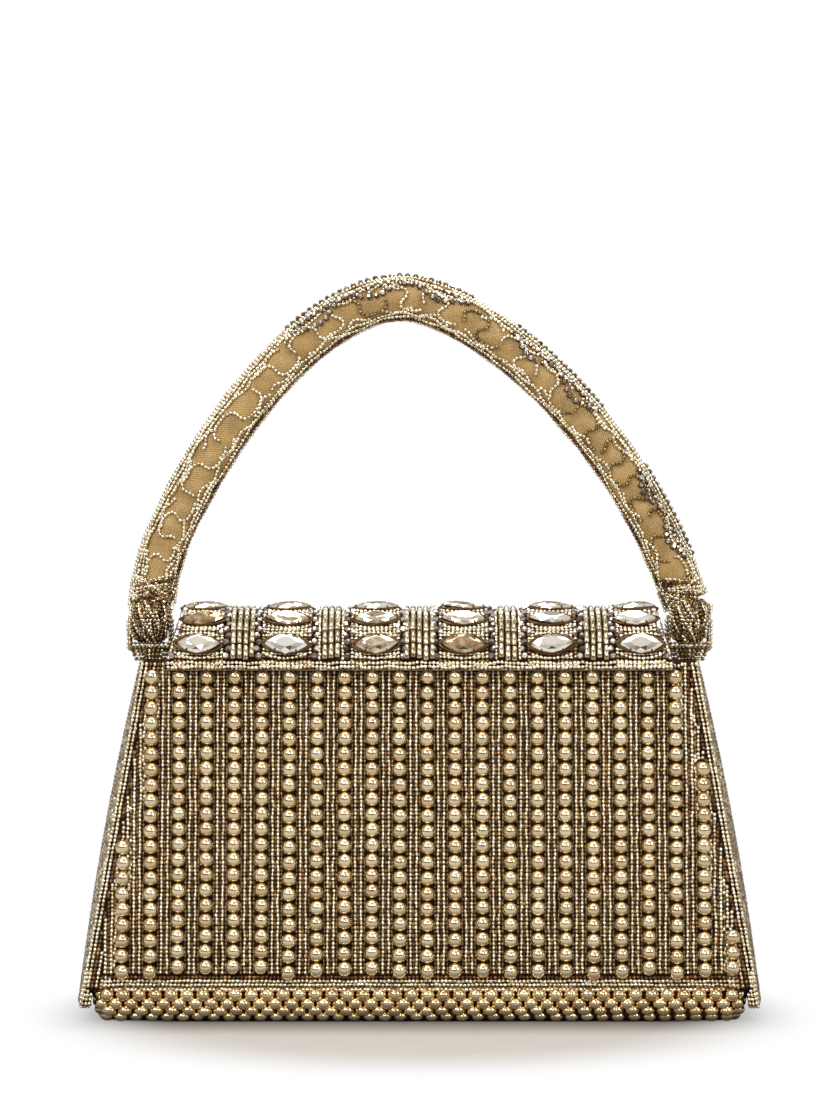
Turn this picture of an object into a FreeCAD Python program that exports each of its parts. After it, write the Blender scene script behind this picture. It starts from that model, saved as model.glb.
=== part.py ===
import FreeCAD
import Part
import math
import os

import Sketcher
from FreeCAD import Placement, Rotation, Vector

# Evening bag. Millimetres, +Z up, origin at the centre of the underside, front facing -Y.
# Each named piece is one object of the document, and is written to parts/ under its label.

os.makedirs("parts", exist_ok=True)
doc = FreeCAD.newDocument("evening_bag")

# ---------------------------------------------------------------- driving dimensions
DIMENSIONS = {
    # base
    "base_half_width": 111.5,
    "base_half_depth": 37.5,
    "base_height": 10.5,
    "base_corner_radius": 9.0,
    "base_edge_radius": 4.0,
    "tray_wall": 1.2,
    "tray_floor": 1.4,
    "base_board_thickness": 2.4,
    "band_thickness": 3.0,
    "band_bottom": 0.4,
    "band_edge_radius": 1.6,
    # front and back panels
    "panel_bottom": 11.0,
    "panel_top": 125.5,
    "panel_half_width_bottom": 116.5,
    "panel_half_width_top": 96.5,
    "panel_half_depth_bottom": 37.0,
    "panel_half_depth_top": 20.8,
    "cover_thickness": 1.0,
    "board_thickness": 1.6,
    "layer_gap": 0.05,
    "board_edge_inset": 1.5,
    # strings of round beads
    "string_spacing": 9.67,
    "string_shift": 2.7,
    "string_edge_room": 0.2,
    "bead_spacing": 5.4,
    "bead_radius": 2.5,
    "thread_radius": 0.5,
    "string_count": 23,
    "string_bottom": 16.9,
    "string_top": 122.0,
    # gussets and lining
    "gusset_thickness": 2.0,
    "gusset_bulge": 3.6,
    "gusset_bulge_loss": 2.4,
    "gusset_bulge_height": 60.0,
    "gusset_bottom": 5.6,
    "seam_gap": 0.3,
    "lining_thickness": 0.5,
    "lining_foot_inset": 14.2,
    "lining_side_inset": 6.6,
    "lining_top": 124.0,
    "pocket_half_width": 60.0,
    "pocket_low": 35.0,
    "pocket_high": 90.0,
    "pocket_thickness": 0.6,
    # flap
    "flap_centre_height": 115.5,
    "flap_outer_radius": 27.1,
    "flap_cover_thickness": 1.0,
    "flap_board_thickness": 1.2,
    "flap_lining_thickness": 0.5,
    "flap_front_bottom": 122.5,
    "flap_back_bottom": 126.5,
    "flap_half_width_low": 90.0,
    "flap_half_width_crest": 84.5,
    "edge_row_radius": 0.75,
    "hinge_axis_y": 25.2,
    "hinge_axis_z": 126.0,
    "hinge_cord_radius": 0.45,
    # crystals, bugles and rhinestones on the flap
    "crystal_half_length": 7.4,
    "crystal_half_width": 3.3,
    "crystal_height": 2.6,
    "setting_rim": 0.8,
    "setting_height": 1.3,
    "crystal_column_spacing": 31.1,
    "crystal_columns": 6,
    "crystal_row_angle": 25.0,
    "bugle_radius": 0.95,
    "bugle_length": 5.4,
    "bugle_spacing": 2.25,
    "rhinestone_radius": 1.15,
    "rhinestone_height": 1.1,
    # hidden magnets
    "magnet_radius": 2.6,
    "magnet_thickness": 0.9,
    "magnet_spacing": 50.0,
    "magnet_clearance": 0.1,
    "body_magnet_drop": 3.6,
    "flap_magnet_angle": 23.0,
    # handle
    "handle_pivot_y": 18.0,
    "handle_pivot_z": 138.0,
    "handle_end_x": 97.0,
    "handle_end_half_length": 6.4,
    "handle_end_radius": 7.4,
    "handle_core_half_width": 5.2,
    "handle_core_half_depth": 2.8,
    "handle_cover_half_width": 6.8,
    "handle_cover_half_depth": 4.2,
    "handle_start_height": 146.0,
    "handle_apex_height": 255.0,
    "handle_arch_power": 1.5,
    "handle_crown_round": 0.035,
    "handle_edge_offset": 7.9,
    "handle_edge_radius": 1.0,
    "handle_bar_radius": 1.4,
    "handle_bar_clearance": 0.08,
    "tab_thickness": 1.0,
    "tab_half_depth": 4.2,
    "tab_bottom": 128.2,
    "tab_top": 140.8,
    "tab_foot_inset": 4.0,
}

sheet = doc.addObject("Spreadsheet::Sheet", "dims")
for row, (alias, value) in enumerate(DIMENSIONS.items(), start=1):
    sheet.set(f"A{row}", alias)
    sheet.set(f"B{row}", str(value))
    sheet.setAlias(f"B{row}", alias)
doc.recompute()


def dim(alias):
    """The value of one spreadsheet cell."""
    return float(sheet.get(alias))


# ---------------------------------------------------------------- helpers
def new_body(label):
    body = doc.addObject("PartDesign::Body", label)
    body.Label = label
    return body


def new_sketch(body, name, role, offset=None):
    """A sketch on one of the body's own origin planes, moved along the plane's normal by a formula."""
    plane = next(item for item in body.Origin.OriginFeatures if item.Role == role)
    sketch = body.newObject("Sketcher::SketchObject", name)
    sketch.AttachmentSupport = [(plane, "")]
    sketch.MapMode = "FlatFace"
    if offset:
        sketch.setExpression("AttachmentOffset.Base.z", offset)
    return sketch


def draw_polygon(sketch, corners):
    """A closed outline whose corners are given as pairs of spreadsheet formulas."""
    count = len(corners)
    ring = [
        Vector(50 * math.cos(turn), 50 * math.sin(turn), 0)
        for turn in (2 * math.pi * (index + 0.5) / count - 0.75 * math.pi for index in range(count))
    ]
    for index in range(count):
        sketch.addGeometry(Part.LineSegment(ring[index], ring[(index + 1) % count]), False)
    for index in range(count):
        sketch.addConstraint(Sketcher.Constraint("Coincident", index, 2, (index + 1) % count, 1))
    for index, (across, up) in enumerate(corners):
        for kind, formula, value in (
            ("DistanceX", across, ring[index].x),
            ("DistanceY", up, ring[index].y),
        ):
            number = sketch.addConstraint(Sketcher.Constraint(kind, -1, 1, index, 1, value))
            sketch.setExpression(f"Constraints[{number}]", formula)


def draw_circle(sketch, across, up, radius):
    """A circle placed and sized by spreadsheet formulas."""
    number = sketch.addGeometry(Part.Circle(Vector(5, 5, 0), Vector(0, 0, 1), 2), False)
    for constraint, formula in (
        (Sketcher.Constraint("DistanceX", -1, 1, number, 3, 5), across),
        (Sketcher.Constraint("DistanceY", -1, 1, number, 3, 5), up),
        (Sketcher.Constraint("Radius", number, 2), radius),
    ):
        index = sketch.addConstraint(constraint)
        sketch.setExpression(f"Constraints[{index}]", formula)


def pad(body, sketch, length, name="Pad", reverse=False):
    feature = body.newObject("PartDesign::Pad", name)
    feature.Profile = sketch
    feature.setExpression("Length", length)
    feature.Reversed = reverse
    body.Tip = feature
    return feature


def pocket_through(body, sketch, name="Pocket"):
    feature = body.newObject("PartDesign::Pocket", name)
    feature.Profile = sketch
    feature.Type = "ThroughAll"
    feature.Midplane = True
    body.Tip = feature
    return feature


def add_shape(label, shape):
    """A piece whose shape is worked out in code from the spreadsheet."""
    piece = doc.addObject("Part::Feature", label)
    piece.Label = label
    piece.Shape = shape
    return piece


def value_of(formula):
    """The number that a spreadsheet formula gives."""
    return float(sheet.evalExpression(formula.replace("dims.", "")))


def draw_rounded_rectangle(sketch, half_width, half_depth, corner):
    """A rectangle about the origin with four equal round corners, from spreadsheet formulas."""
    wide, deep, radius = value_of(half_width), value_of(half_depth), value_of(corner)
    inner_x, inner_y = wide - radius, deep - radius
    sides = [
        (Vector(-inner_x, -deep), Vector(inner_x, -deep), "Horizontal"),
        (Vector(wide, -inner_y), Vector(wide, inner_y), "Vertical"),
        (Vector(inner_x, deep), Vector(-inner_x, deep), "Horizontal"),
        (Vector(-wide, inner_y), Vector(-wide, -inner_y), "Vertical"),
    ]
    centres = [
        Vector(inner_x, -inner_y),
        Vector(inner_x, inner_y),
        Vector(-inner_x, inner_y),
        Vector(-inner_x, -inner_y),
    ]
    for start, end, _ in sides:
        sketch.addGeometry(Part.LineSegment(start, end), False)
    for number, centre in enumerate(centres):
        circle = Part.Circle(centre, Vector(0, 0, 1), radius)
        begin = (number - 1) * math.pi / 2
        sketch.addGeometry(Part.ArcOfCircle(circle, begin, begin + math.pi / 2), False)
    for number, (_, _, direction) in enumerate(sides):
        arc = 4 + number
        sketch.addConstraint(Sketcher.Constraint("Tangent", number, 2, arc, 1))
        sketch.addConstraint(Sketcher.Constraint("Tangent", arc, 2, (number + 1) % 4, 1))
        sketch.addConstraint(Sketcher.Constraint(direction, number))
    for arc in (5, 6, 7):
        sketch.addConstraint(Sketcher.Constraint("Equal", 4, arc))
    sized = [
        (Sketcher.Constraint("Radius", 4, radius), corner),
        (Sketcher.Constraint("DistanceX", -1, 1, 5, 3, inner_x), f"{half_width} - ({corner})"),
        (Sketcher.Constraint("DistanceY", -1, 1, 5, 3, inner_y), f"{half_depth} - ({corner})"),
        (Sketcher.Constraint("DistanceX", 7, 3, -1, 1, inner_x), f"{half_width} - ({corner})"),
        (Sketcher.Constraint("DistanceY", 7, 3, -1, 1, inner_y), f"{half_depth} - ({corner})"),
    ]
    for constraint, formula in sized:
        number = sketch.addConstraint(constraint)
        sketch.setExpression(f"Constraints[{number}]", formula)


# ---------------------------------------------------------------- base
def rounded_box(body, half_width, half_depth, low, height, corner):
    """A pad with upright rounded corners, from spreadsheet formulas."""
    sketch = new_sketch(body, "Outline", "XY_Plane", low)
    draw_rounded_rectangle(sketch, half_width, half_depth, corner)
    return pad(body, sketch, height)


def cut_rounded(body, half_width, half_depth, low, corner):
    """Empties a body above a height, leaving a wall round it."""
    sketch = new_sketch(body, "Inside", "XY_Plane", low)
    draw_rounded_rectangle(sketch, half_width, half_depth, corner)
    hollow = body.newObject("PartDesign::Pocket", "Hollow")
    hollow.Profile = sketch
    hollow.setExpression("Length", "dims.base_height * 2")
    hollow.Reversed = True
    body.Tip = hollow


def round_lower_edge(body, base, low, radius):
    """A fillet round the lowest outer edge of a body."""
    doc.recompute()
    names = [
        f"Edge{number}"
        for number, edge in enumerate(base.Shape.Edges, start=1)
        if edge.BoundBox.ZMax < low + 0.01
    ]
    feature = body.newObject("PartDesign::Fillet", "LowerEdge")
    feature.Base = (base, names)
    feature.setExpression("Radius", radius)
    body.Tip = feature


def build_base():
    tray = new_body("base_cover")
    block = rounded_box(
        tray,
        "dims.base_half_width",
        "dims.base_half_depth",
        None,
        "dims.base_height",
        "dims.base_corner_radius",
    )
    round_lower_edge(tray, block, 0, "dims.base_edge_radius")
    cut_rounded(
        tray,
        "dims.base_half_width - dims.tray_wall",
        "dims.base_half_depth - dims.tray_wall",
        "dims.tray_floor",
        "dims.base_corner_radius - dims.tray_wall",
    )

    rounded_box(
        new_body("base_board"),
        "dims.base_half_width - dims.tray_wall - dims.seam_gap",
        "dims.base_half_depth - dims.tray_wall - dims.seam_gap",
        "dims.tray_floor + dims.layer_gap",
        "dims.base_board_thickness",
        "dims.base_corner_radius - dims.tray_wall - dims.seam_gap",
    )

    band = new_body("base_bead_band")
    block = rounded_box(
        band,
        "dims.base_half_width + dims.band_thickness",
        "dims.base_half_depth + dims.band_thickness",
        "dims.band_bottom",
        "dims.base_height - dims.band_bottom",
        "dims.base_corner_radius + dims.band_thickness",
    )
    round_lower_edge(band, block, dim("band_bottom"), "dims.band_edge_radius")
    cut_rounded(
        band,
        "dims.base_half_width + dims.layer_gap",
        "dims.base_half_depth + dims.layer_gap",
        "-dims.base_height / 2",
        "dims.base_corner_radius + dims.layer_gap",
    )


# ---------------------------------------------------------------- front and back panels
slope_run = dim("panel_half_depth_bottom") - dim("panel_half_depth_top")
slope_rise = dim("panel_top") - dim("panel_bottom")
slope_length = math.hypot(slope_run, slope_rise)
slope_angle = math.degrees(math.atan2(slope_run, slope_rise))

front_placement = Placement(
    Vector(0, -dim("panel_half_depth_bottom"), dim("panel_bottom")),
    Rotation(Vector(1, 0, 0), -slope_angle),
)
back_placement = Placement(Vector(0, 0, 0), Rotation(Vector(0, 0, 1), 180)).multiply(front_placement)
PANEL_PLACEMENTS = {"front": front_placement, "back": back_placement}
SLOPE = (
    "sqrt((dims.panel_half_depth_bottom - dims.panel_half_depth_top)^2"
    " + (dims.panel_top - dims.panel_bottom)^2)"
)


def panel_plate(label, placement, inset, start, thickness):
    """A flat trapezoid layer of a panel, drawn upright and then leaned back to the panel's slope."""
    body = new_body(label)
    sketch = new_sketch(body, "Outline", "XZ_Plane", f"-({start})")
    low = f"dims.panel_half_width_bottom - {inset}"
    high = f"dims.panel_half_width_top - {inset}"
    draw_polygon(
        sketch,
        [(f"-({low})", "0"), (low, "0"), (high, SLOPE), (f"-({high})", SLOPE)],
    )
    pad(body, sketch, thickness, reverse=True)
    body.Placement = placement
    return body


def bore_for_magnets(body, start):
    """Round through holes near the top edge of a panel board."""
    sketch = new_sketch(body, "MagnetHoles", "XZ_Plane", f"-({start})")
    for step in (-1, 0, 1):
        draw_circle(
            sketch,
            f"{step} * dims.magnet_spacing",
            f"{SLOPE} - dims.body_magnet_drop",
            "dims.magnet_radius + dims.magnet_clearance",
        )
    pocket_through(body, sketch, "MagnetPockets")


def string_profile(low, high):
    """Half outline of one string of round beads on its thread, from its axis outwards."""
    radius = dim("bead_radius")
    thread = dim("thread_radius")
    reach = math.sqrt(radius**2 - thread**2)
    count = int((high - low) / dim("bead_spacing")) + 1
    edges = []
    foot = Vector(0, 0, low - radius)
    previous = foot
    for number in range(count):
        centre = low + number * dim("bead_spacing")
        first = previous if number == 0 else Vector(thread, 0, centre - reach)
        last = Vector(0, 0, centre + radius) if number == count - 1 else Vector(thread, 0, centre + reach)
        if number:
            edges.append(Part.makeLine(previous, first))
        edges.append(Part.Arc(first, Vector(radius, 0, centre), last).toShape())
        previous = last
    edges.append(Part.makeLine(previous, foot))
    return Part.Face(Part.Wire(edges))


def bead_strings(label, placement):
    """All strings of one panel. A string near a slanted edge starts lower, where the edge lets it in."""
    lean = (dim("panel_half_width_bottom") - dim("panel_half_width_top")) / slope_length
    middle = (dim("string_count") - 1) / 2
    strings = []
    for number in range(int(dim("string_count"))):
        across = (number - middle) * dim("string_spacing") + dim("string_shift")
        used = abs(across) + dim("bead_radius") + dim("string_edge_room")
        edge_room = dim("panel_half_width_bottom") - used
        high = min(dim("string_top") - dim("panel_bottom"), edge_room / lean)
        low = dim("string_bottom") - dim("panel_bottom")
        if high - low < dim("bead_spacing"):
            continue
        string = string_profile(low, high).revolve(Vector(0, 0, 0), Vector(0, 0, 1), 360)
        string.translate(Vector(across, -dim("bead_radius") - dim("layer_gap"), 0))
        strings.append(string)
    piece = add_shape(label, Part.makeCompound(strings))
    piece.Placement = placement


def build_panels():
    for side, placement in PANEL_PLACEMENTS.items():
        panel_plate(f"{side}_cover", placement, "0", "0", "dims.cover_thickness")
        board_start = "dims.cover_thickness + dims.layer_gap"
        board = panel_plate(
            f"{side}_board", placement, "dims.board_edge_inset", board_start, "dims.board_thickness"
        )
        if side == "front":
            bore_for_magnets(board, board_start)
        bead_strings(f"{side}_bead_strings", placement)

    magnets = new_body("body_magnets")
    middle = "(dims.cover_thickness + 2 * dims.layer_gap + 0.3)"
    sketch = new_sketch(magnets, "Discs", "XZ_Plane", f"-{middle}")
    for step in (-1, 0, 1):
        draw_circle(
            sketch, f"{step} * dims.magnet_spacing", f"{SLOPE} - dims.body_magnet_drop",
            "dims.magnet_radius",
        )
    pad(magnets, sketch, "dims.magnet_thickness", reverse=True)
    magnets.Placement = front_placement


# ---------------------------------------------------------------- gussets, lining and pocket
def along_slope(height, low_alias, high_alias):
    """A half width or half depth of the body at a height, between its bottom and top values."""
    share = (height - dim("panel_bottom")) / (dim("panel_top") - dim("panel_bottom"))
    return dim(low_alias) + share * (dim(high_alias) - dim(low_alias))


def gusset_section(height):
    """A thin crescent between the front and back panels, bulging outwards."""
    edge = along_slope(height, "panel_half_width_bottom", "panel_half_width_top") + dim("seam_gap")
    depth = along_slope(height, "panel_half_depth_bottom", "panel_half_depth_top")
    away = (height - dim("gusset_bulge_height")) / (dim("panel_top") - dim("gusset_bulge_height"))
    bulge = dim("gusset_bulge") - dim("gusset_bulge_loss") * away**2
    wall = dim("gusset_thickness")
    outer = Part.Arc(
        Vector(edge, -depth, height), Vector(edge + bulge, 0, height), Vector(edge, depth, height)
    ).toShape()
    inner = Part.Arc(
        Vector(edge, depth - wall, height),
        Vector(edge + bulge - wall, 0, height),
        Vector(edge, wall - depth, height),
    ).toShape()
    ends = [
        Part.makeLine(Vector(edge, depth, height), Vector(edge, depth - wall, height)),
        Part.makeLine(Vector(edge, wall - depth, height), Vector(edge, -depth, height)),
    ]
    return Part.Wire([outer, ends[0], inner, ends[1]])


def mirrored_to_left(shape):
    return shape.mirror(Vector(0, 0, 0), Vector(1, 0, 0))


def build_gussets():
    low = dim("gusset_bottom")
    high = dim("panel_top")
    steps = 5
    heights = [low + (high - low) * step / steps for step in range(steps + 1)]
    right = Part.makeLoft([gusset_section(height) for height in heights], True, False)
    add_shape("right_gusset", right)
    add_shape("left_gusset", mirrored_to_left(right))


def slanted_block(inset_low, inset_high, inset_y, low, high):
    """A solid that follows the slope of the body walls, inset from the outer faces of the panels.

    The inset from the ends of the body changes from the bottom to the top."""
    wires = []
    for height, inset_x in ((low, inset_low), (high, inset_high)):
        across = along_slope(height, "panel_half_width_bottom", "panel_half_width_top") - inset_x
        deep = along_slope(height, "panel_half_depth_bottom", "panel_half_depth_top") - inset_y
        corners = [
            Vector(-across, -deep, height),
            Vector(across, -deep, height),
            Vector(across, deep, height),
            Vector(-across, deep, height),
        ]
        wires.append(Part.makePolygon(corners + corners[:1]))
    return Part.makeLoft(wires, True, True)


def build_lining():
    wall = dim("lining_thickness")
    panel_stack = dim("cover_thickness") + dim("board_thickness") + 4 * dim("layer_gap")
    stack_in_depth = panel_stack / math.cos(math.radians(slope_angle))
    floor = dim("tray_floor") + dim("base_board_thickness") + 1.5
    foot, side = dim("lining_foot_inset"), dim("lining_side_inset")
    depth, top = stack_in_depth, dim("lining_top")
    outside = slanted_block(foot, side, depth, floor, top)
    inside = slanted_block(foot + wall, side + wall, depth + wall, floor + wall, top + 5)
    add_shape("lining", outside.cut(inside))

    pocket = new_body("slip_pocket")
    start = (
        "dims.cover_thickness + dims.board_thickness + 8 * dims.layer_gap + dims.lining_thickness"
    )
    sketch = new_sketch(pocket, "Outline", "XZ_Plane", f"-({start})")
    draw_polygon(
        sketch,
        [
            ("-dims.pocket_half_width", "dims.pocket_low"),
            ("dims.pocket_half_width", "dims.pocket_low"),
            ("dims.pocket_half_width", "dims.pocket_high"),
            ("-dims.pocket_half_width", "dims.pocket_high"),
        ],
    )
    pad(pocket, sketch, "dims.pocket_thickness", reverse=True)
    pocket.Placement = back_placement


# ---------------------------------------------------------------- flap
def flap_ends_cutter():
    """The space between the two flap ends, which close in from the lip to the crest."""
    low = dim("flap_front_bottom") - 5
    high = dim("flap_centre_height") + dim("flap_outer_radius") + 5
    rise = dim("flap_centre_height") + dim("flap_outer_radius") - dim("flap_front_bottom")
    lean = (dim("flap_half_width_low") - dim("flap_half_width_crest")) / rise
    half_low = dim("flap_half_width_low") + 5 * lean
    half_high = half_low - lean * (high - low)
    reach = dim("flap_outer_radius") + 5
    outline = [
        Vector(-half_low, -reach, low),
        Vector(half_low, -reach, low),
        Vector(half_high, -reach, high),
        Vector(-half_high, -reach, high),
    ]
    return Part.Face(Part.makePolygon(outline + outline[:1])).extrude(Vector(0, 2 * reach, 0))


def on_flap(radius, angle, across=0.0):
    """A point over the flap's axis. Angle 0 is straight up and grows towards the front."""
    turn = math.radians(angle)
    return Vector(
        across, -radius * math.sin(turn), dim("flap_centre_height") + radius * math.cos(turn)
    )


def angle_at(radius, height):
    return math.degrees(math.acos((height - dim("flap_centre_height")) / radius))


def flap_shell(outer, thickness):
    """A curved layer of the flap between two radii, from the front lip over the top to the hinge."""
    inner = outer - thickness
    front = angle_at(dim("flap_outer_radius"), dim("flap_front_bottom"))
    back = -angle_at(dim("flap_outer_radius"), dim("flap_back_bottom"))
    half = dim("flap_half_width_low")
    points = {
        radius: [on_flap(radius, angle, -half) for angle in (front, (front + back) / 2, back)]
        for radius in (outer, inner)
    }
    profile = Part.Wire(
        [
            Part.Arc(*points[outer]).toShape(),
            Part.makeLine(points[outer][2], points[inner][2]),
            Part.Arc(*reversed(points[inner])).toShape(),
            Part.makeLine(points[inner][0], points[outer][0]),
        ]
    )
    return Part.Face(profile).extrude(Vector(2 * half, 0, 0)).common(flap_ends_cutter())


def flap_disc(radius_from_axis, angle, across, disc_radius, thickness):
    """A round disc lying in a flap layer, its axis pointing out of the flap."""
    centre = on_flap(radius_from_axis, angle, across)
    outward = on_flap(1, angle).sub(on_flap(0, angle))
    return Part.makeCylinder(disc_radius, thickness, centre, outward)


def build_flap_layers():
    gap = dim("layer_gap")
    cover_outer = dim("flap_outer_radius")
    board_outer = cover_outer - dim("flap_cover_thickness") - gap
    lining_outer = board_outer - dim("flap_board_thickness") - gap
    add_shape("flap_cover", flap_shell(cover_outer, dim("flap_cover_thickness")))
    add_shape("flap_lining", flap_shell(lining_outer, dim("flap_lining_thickness")))

    board = flap_shell(board_outer, dim("flap_board_thickness"))
    magnets = []
    start = board_outer - dim("flap_board_thickness") + gap
    for step in (-1, 0, 1):
        across = step * dim("magnet_spacing")
        angle = 90 - dim("flap_magnet_angle")
        hole = flap_disc(start - 2, angle, across, dim("magnet_radius") + dim("magnet_clearance"), 6)
        board = board.cut(hole)
        magnets.append(
            flap_disc(start, angle, across, dim("magnet_radius"), dim("magnet_thickness"))
        )
    add_shape("flap_board", board)
    add_shape("flap_magnets", Part.makeCompound(magnets))


def build_flap_edge_rows():
    """Two rows of seed beads along the front lip."""
    radius = dim("edge_row_radius")
    centre = dim("flap_outer_radius") + radius + dim("layer_gap")
    half = dim("flap_half_width_low") - 1.0
    rows = []
    for angle in (angle_at(centre, dim("flap_front_bottom") + 1.0), 68.5):
        start = on_flap(centre, angle, -half)
        rows.append(Part.makeCylinder(radius, 2 * half, start, Vector(1, 0, 0)))
    add_shape("flap_edge_rows", Part.makeCompound(rows))


def navette_wire(half_length, half_width, height):
    """A pointed oval made of two arcs."""
    left = Vector(-half_length, 0, height)
    right = Vector(half_length, 0, height)
    return Part.Wire(
        [
            Part.Arc(left, Vector(0, -half_width, height), right).toShape(),
            Part.Arc(right, Vector(0, half_width, height), left).toShape(),
        ]
    )


def navette_crystal():
    """A faceted pointed stone: girdle, raised crown and flat table."""
    half_length = dim("crystal_half_length")
    half_width = dim("crystal_half_width")
    seat = dim("setting_height") - 0.7
    girdle = dim("setting_height") + 0.1
    crown = Part.makeLoft(
        [
            navette_wire(half_length, half_width, girdle),
            navette_wire(0.62 * half_length, 0.55 * half_width, dim("crystal_height")),
        ],
        True,
        True,
    )
    foot = Part.makeLoft(
        [
            navette_wire(0.9 * half_length, 0.86 * half_width, seat),
            navette_wire(half_length, half_width, girdle),
        ],
        True,
        True,
    )
    return crown.fuse(foot)


def navette_setting():
    """A shallow claw cup round one stone, with four claws."""
    rim = dim("setting_rim")
    half_length = dim("crystal_half_length")
    half_width = dim("crystal_half_width")
    top = dim("setting_height")
    clear = 0.08
    outer = Part.Face(navette_wire(half_length + rim, half_width + rim, 0)).extrude(Vector(0, 0, top))
    hollow = Part.Face(
        navette_wire(half_length + clear, half_width + clear, 0.5)
    ).extrude(Vector(0, 0, top))
    cup = outer.cut(hollow)
    for along in (-1, 1):
        for aside in (-1, 1):
            foot = Vector(along * 0.55 * half_length, aside * (0.78 * half_width + 0.75), 0.4)
            claw = Part.makeCylinder(0.38, top + 0.7, foot, Vector(0, 0, 1))
            cup = cup.fuse(claw)
    return cup


def seat_on_flap(shape, angle, across):
    """A piece drawn flat, stood on the flap's outer face at an angle from the top."""
    piece = shape.copy()
    point = on_flap(dim("flap_outer_radius") + dim("layer_gap"), angle, across)
    piece.Placement = Placement(point, Rotation(Vector(1, 0, 0), angle)).multiply(piece.Placement)
    return piece


def crystal_columns():
    middle = (dim("crystal_columns") - 1) / 2
    return [
        (number - middle) * dim("crystal_column_spacing")
        for number in range(int(dim("crystal_columns")))
    ]


def crystal_angles():
    """Five stones from just above the lip, over the crest and down the back."""
    return [step * dim("crystal_row_angle") for step in (2, 1, 0, -1, -2)]


def build_crystals():
    stone = navette_crystal()
    setting = navette_setting()
    stones = []
    settings = []
    for across in crystal_columns():
        for angle in crystal_angles():
            stones.append(seat_on_flap(stone, angle, across))
            settings.append(seat_on_flap(setting, angle, across))
    add_shape("navette_crystals", Part.makeCompound(stones))
    add_shape("crystal_settings", Part.makeCompound(settings))


def build_rhinestones():
    """Two small round stones in the gap beside each crystal, at both ends."""
    stones = []
    radius = dim("rhinestone_radius")
    stone = Part.makeCone(radius, 0.6 * radius, dim("rhinestone_height"))
    reach = dim("crystal_half_length") + dim("setting_rim") - 0.9
    for across in crystal_columns():
        for angle in crystal_angles():
            for side in (-1, 1):
                between = angle + dim("crystal_row_angle") / 2
                stones.append(seat_on_flap(stone, between, across + side * reach))
    add_shape("rhinestones", Part.makeCompound(stones))


BUGLE_LINES = (4, 3, 5, 3, 4)  # lines of bugles in each space between two crystal columns


def build_bugles():
    """Bugle beads laid over the flap in lines, filling the spaces between the crystal columns."""
    radius = dim("bugle_radius")
    length = dim("bugle_length")
    step_angle = math.degrees((length + 0.3) / (dim("flap_outer_radius") + radius))
    columns = crystal_columns()
    bugle = Part.makeCylinder(radius, length, Vector(0, -length / 2, radius), Vector(0, 1, 0))
    bugles = []
    for left, right, lines in zip(columns, columns[1:], BUGLE_LINES):
        for line in range(lines):
            across = (left + right) / 2 + (line - (lines - 1) / 2) * dim("bugle_spacing")
            for step in range(-5, 6):
                bugles.append(seat_on_flap(bugle, step * step_angle, across))
    add_shape("bugle_beads", Part.makeCompound(bugles))


# ---------------------------------------------------------------- handle
def handle_arch_point(turn):
    """A point of the handle's left half: a power curve from foot to crown, rounded at the crown."""
    foot = dim("handle_end_x") - 0.7
    start = dim("handle_start_height")
    rise = dim("handle_apex_height") - start
    power = 2 / dim("handle_arch_power")
    soft = dim("handle_crown_round")
    reach = math.sqrt(1 + soft**2) - soft
    out = math.sqrt((reach * math.cos(turn) ** power + soft) ** 2 - soft**2)
    return Vector(-foot * out, dim("handle_pivot_y"), start + rise * math.sin(turn) ** power)


def handle_half_points(offset=0.0, count=8):
    """Left half of the handle's arch, or a line beside it in the handle's plane."""
    points = []
    for step in range(count + 1):
        turn = min(max(math.pi / 2 * step / count, 0.001), math.pi / 2 - 0.001)
        along = handle_arch_point(turn + 0.0005) - handle_arch_point(turn - 0.0005)
        along.normalize()
        points.append(handle_arch_point(turn) + Vector(-along.z, 0, along.x) * offset)
    return points


def handle_curve(offset=0.0):
    """The whole arch, mirrored about the middle."""
    left = handle_half_points(offset)
    right = [Vector(-point.x, point.y, point.z) for point in reversed(left[:-1])]
    curve = Part.BSplineCurve()
    curve.interpolate(left + right)
    return curve


def oval_at_start(curve, half_width, half_depth):
    """An oval across the start of a curve, its width in the handle's plane."""
    start = curve.value(curve.FirstParameter)
    along = curve.tangent(curve.FirstParameter)[0]
    aside = Vector(-along.z, 0, along.x)
    return Part.Ellipse(start + aside * half_width, start + Vector(0, half_depth, 0), start)


def circle_at_start(curve, radius):
    start = curve.value(curve.FirstParameter)
    return Part.Circle(start, curve.tangent(curve.FirstParameter)[0], radius)


def swept_wall(curve, profile):
    """The open skin that a profile sweeps along a curve, kept square to the handle's plane."""
    sweep = Part.BRepOffsetAPI.MakePipeShell(Part.Wire([curve.toShape()]))
    sweep.setBiNormalMode(Vector(0, 1, 0))
    sweep.add(Part.Wire([profile.toShape()]))
    sweep.build()
    return sweep


def swept_solid(curve, profile):
    sweep = swept_wall(curve, profile)
    sweep.makeSolid()
    return sweep.shape()


def end_edges(wall):
    """The two closed end edges of a swept wall, left one first."""
    ends = [edge for edge in wall.Edges if edge.Closed]
    return sorted(ends, key=lambda edge: edge.CenterOfMass.x)


def swept_tube(curve, outer, inner):
    """A hollow strap between two profiles swept along the same curve, closed at both ends."""
    walls = [swept_wall(curve, profile).shape() for profile in (outer, inner)]
    faces = [face for wall in walls for face in wall.Faces]
    outer_ends, inner_ends = [end_edges(wall) for wall in walls]
    for outside, inside in zip(outer_ends, inner_ends):
        plate = Part.Face(Part.Wire(outside)).cut(Part.Face(Part.Wire(inside)))
        faces += plate.Faces
    sewn = Part.makeCompound(faces)
    sewn.sewShape()
    solid = Part.Solid(sewn.Shells[0])
    if solid.Volume < 0:
        solid.reverse()
    return solid


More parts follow.
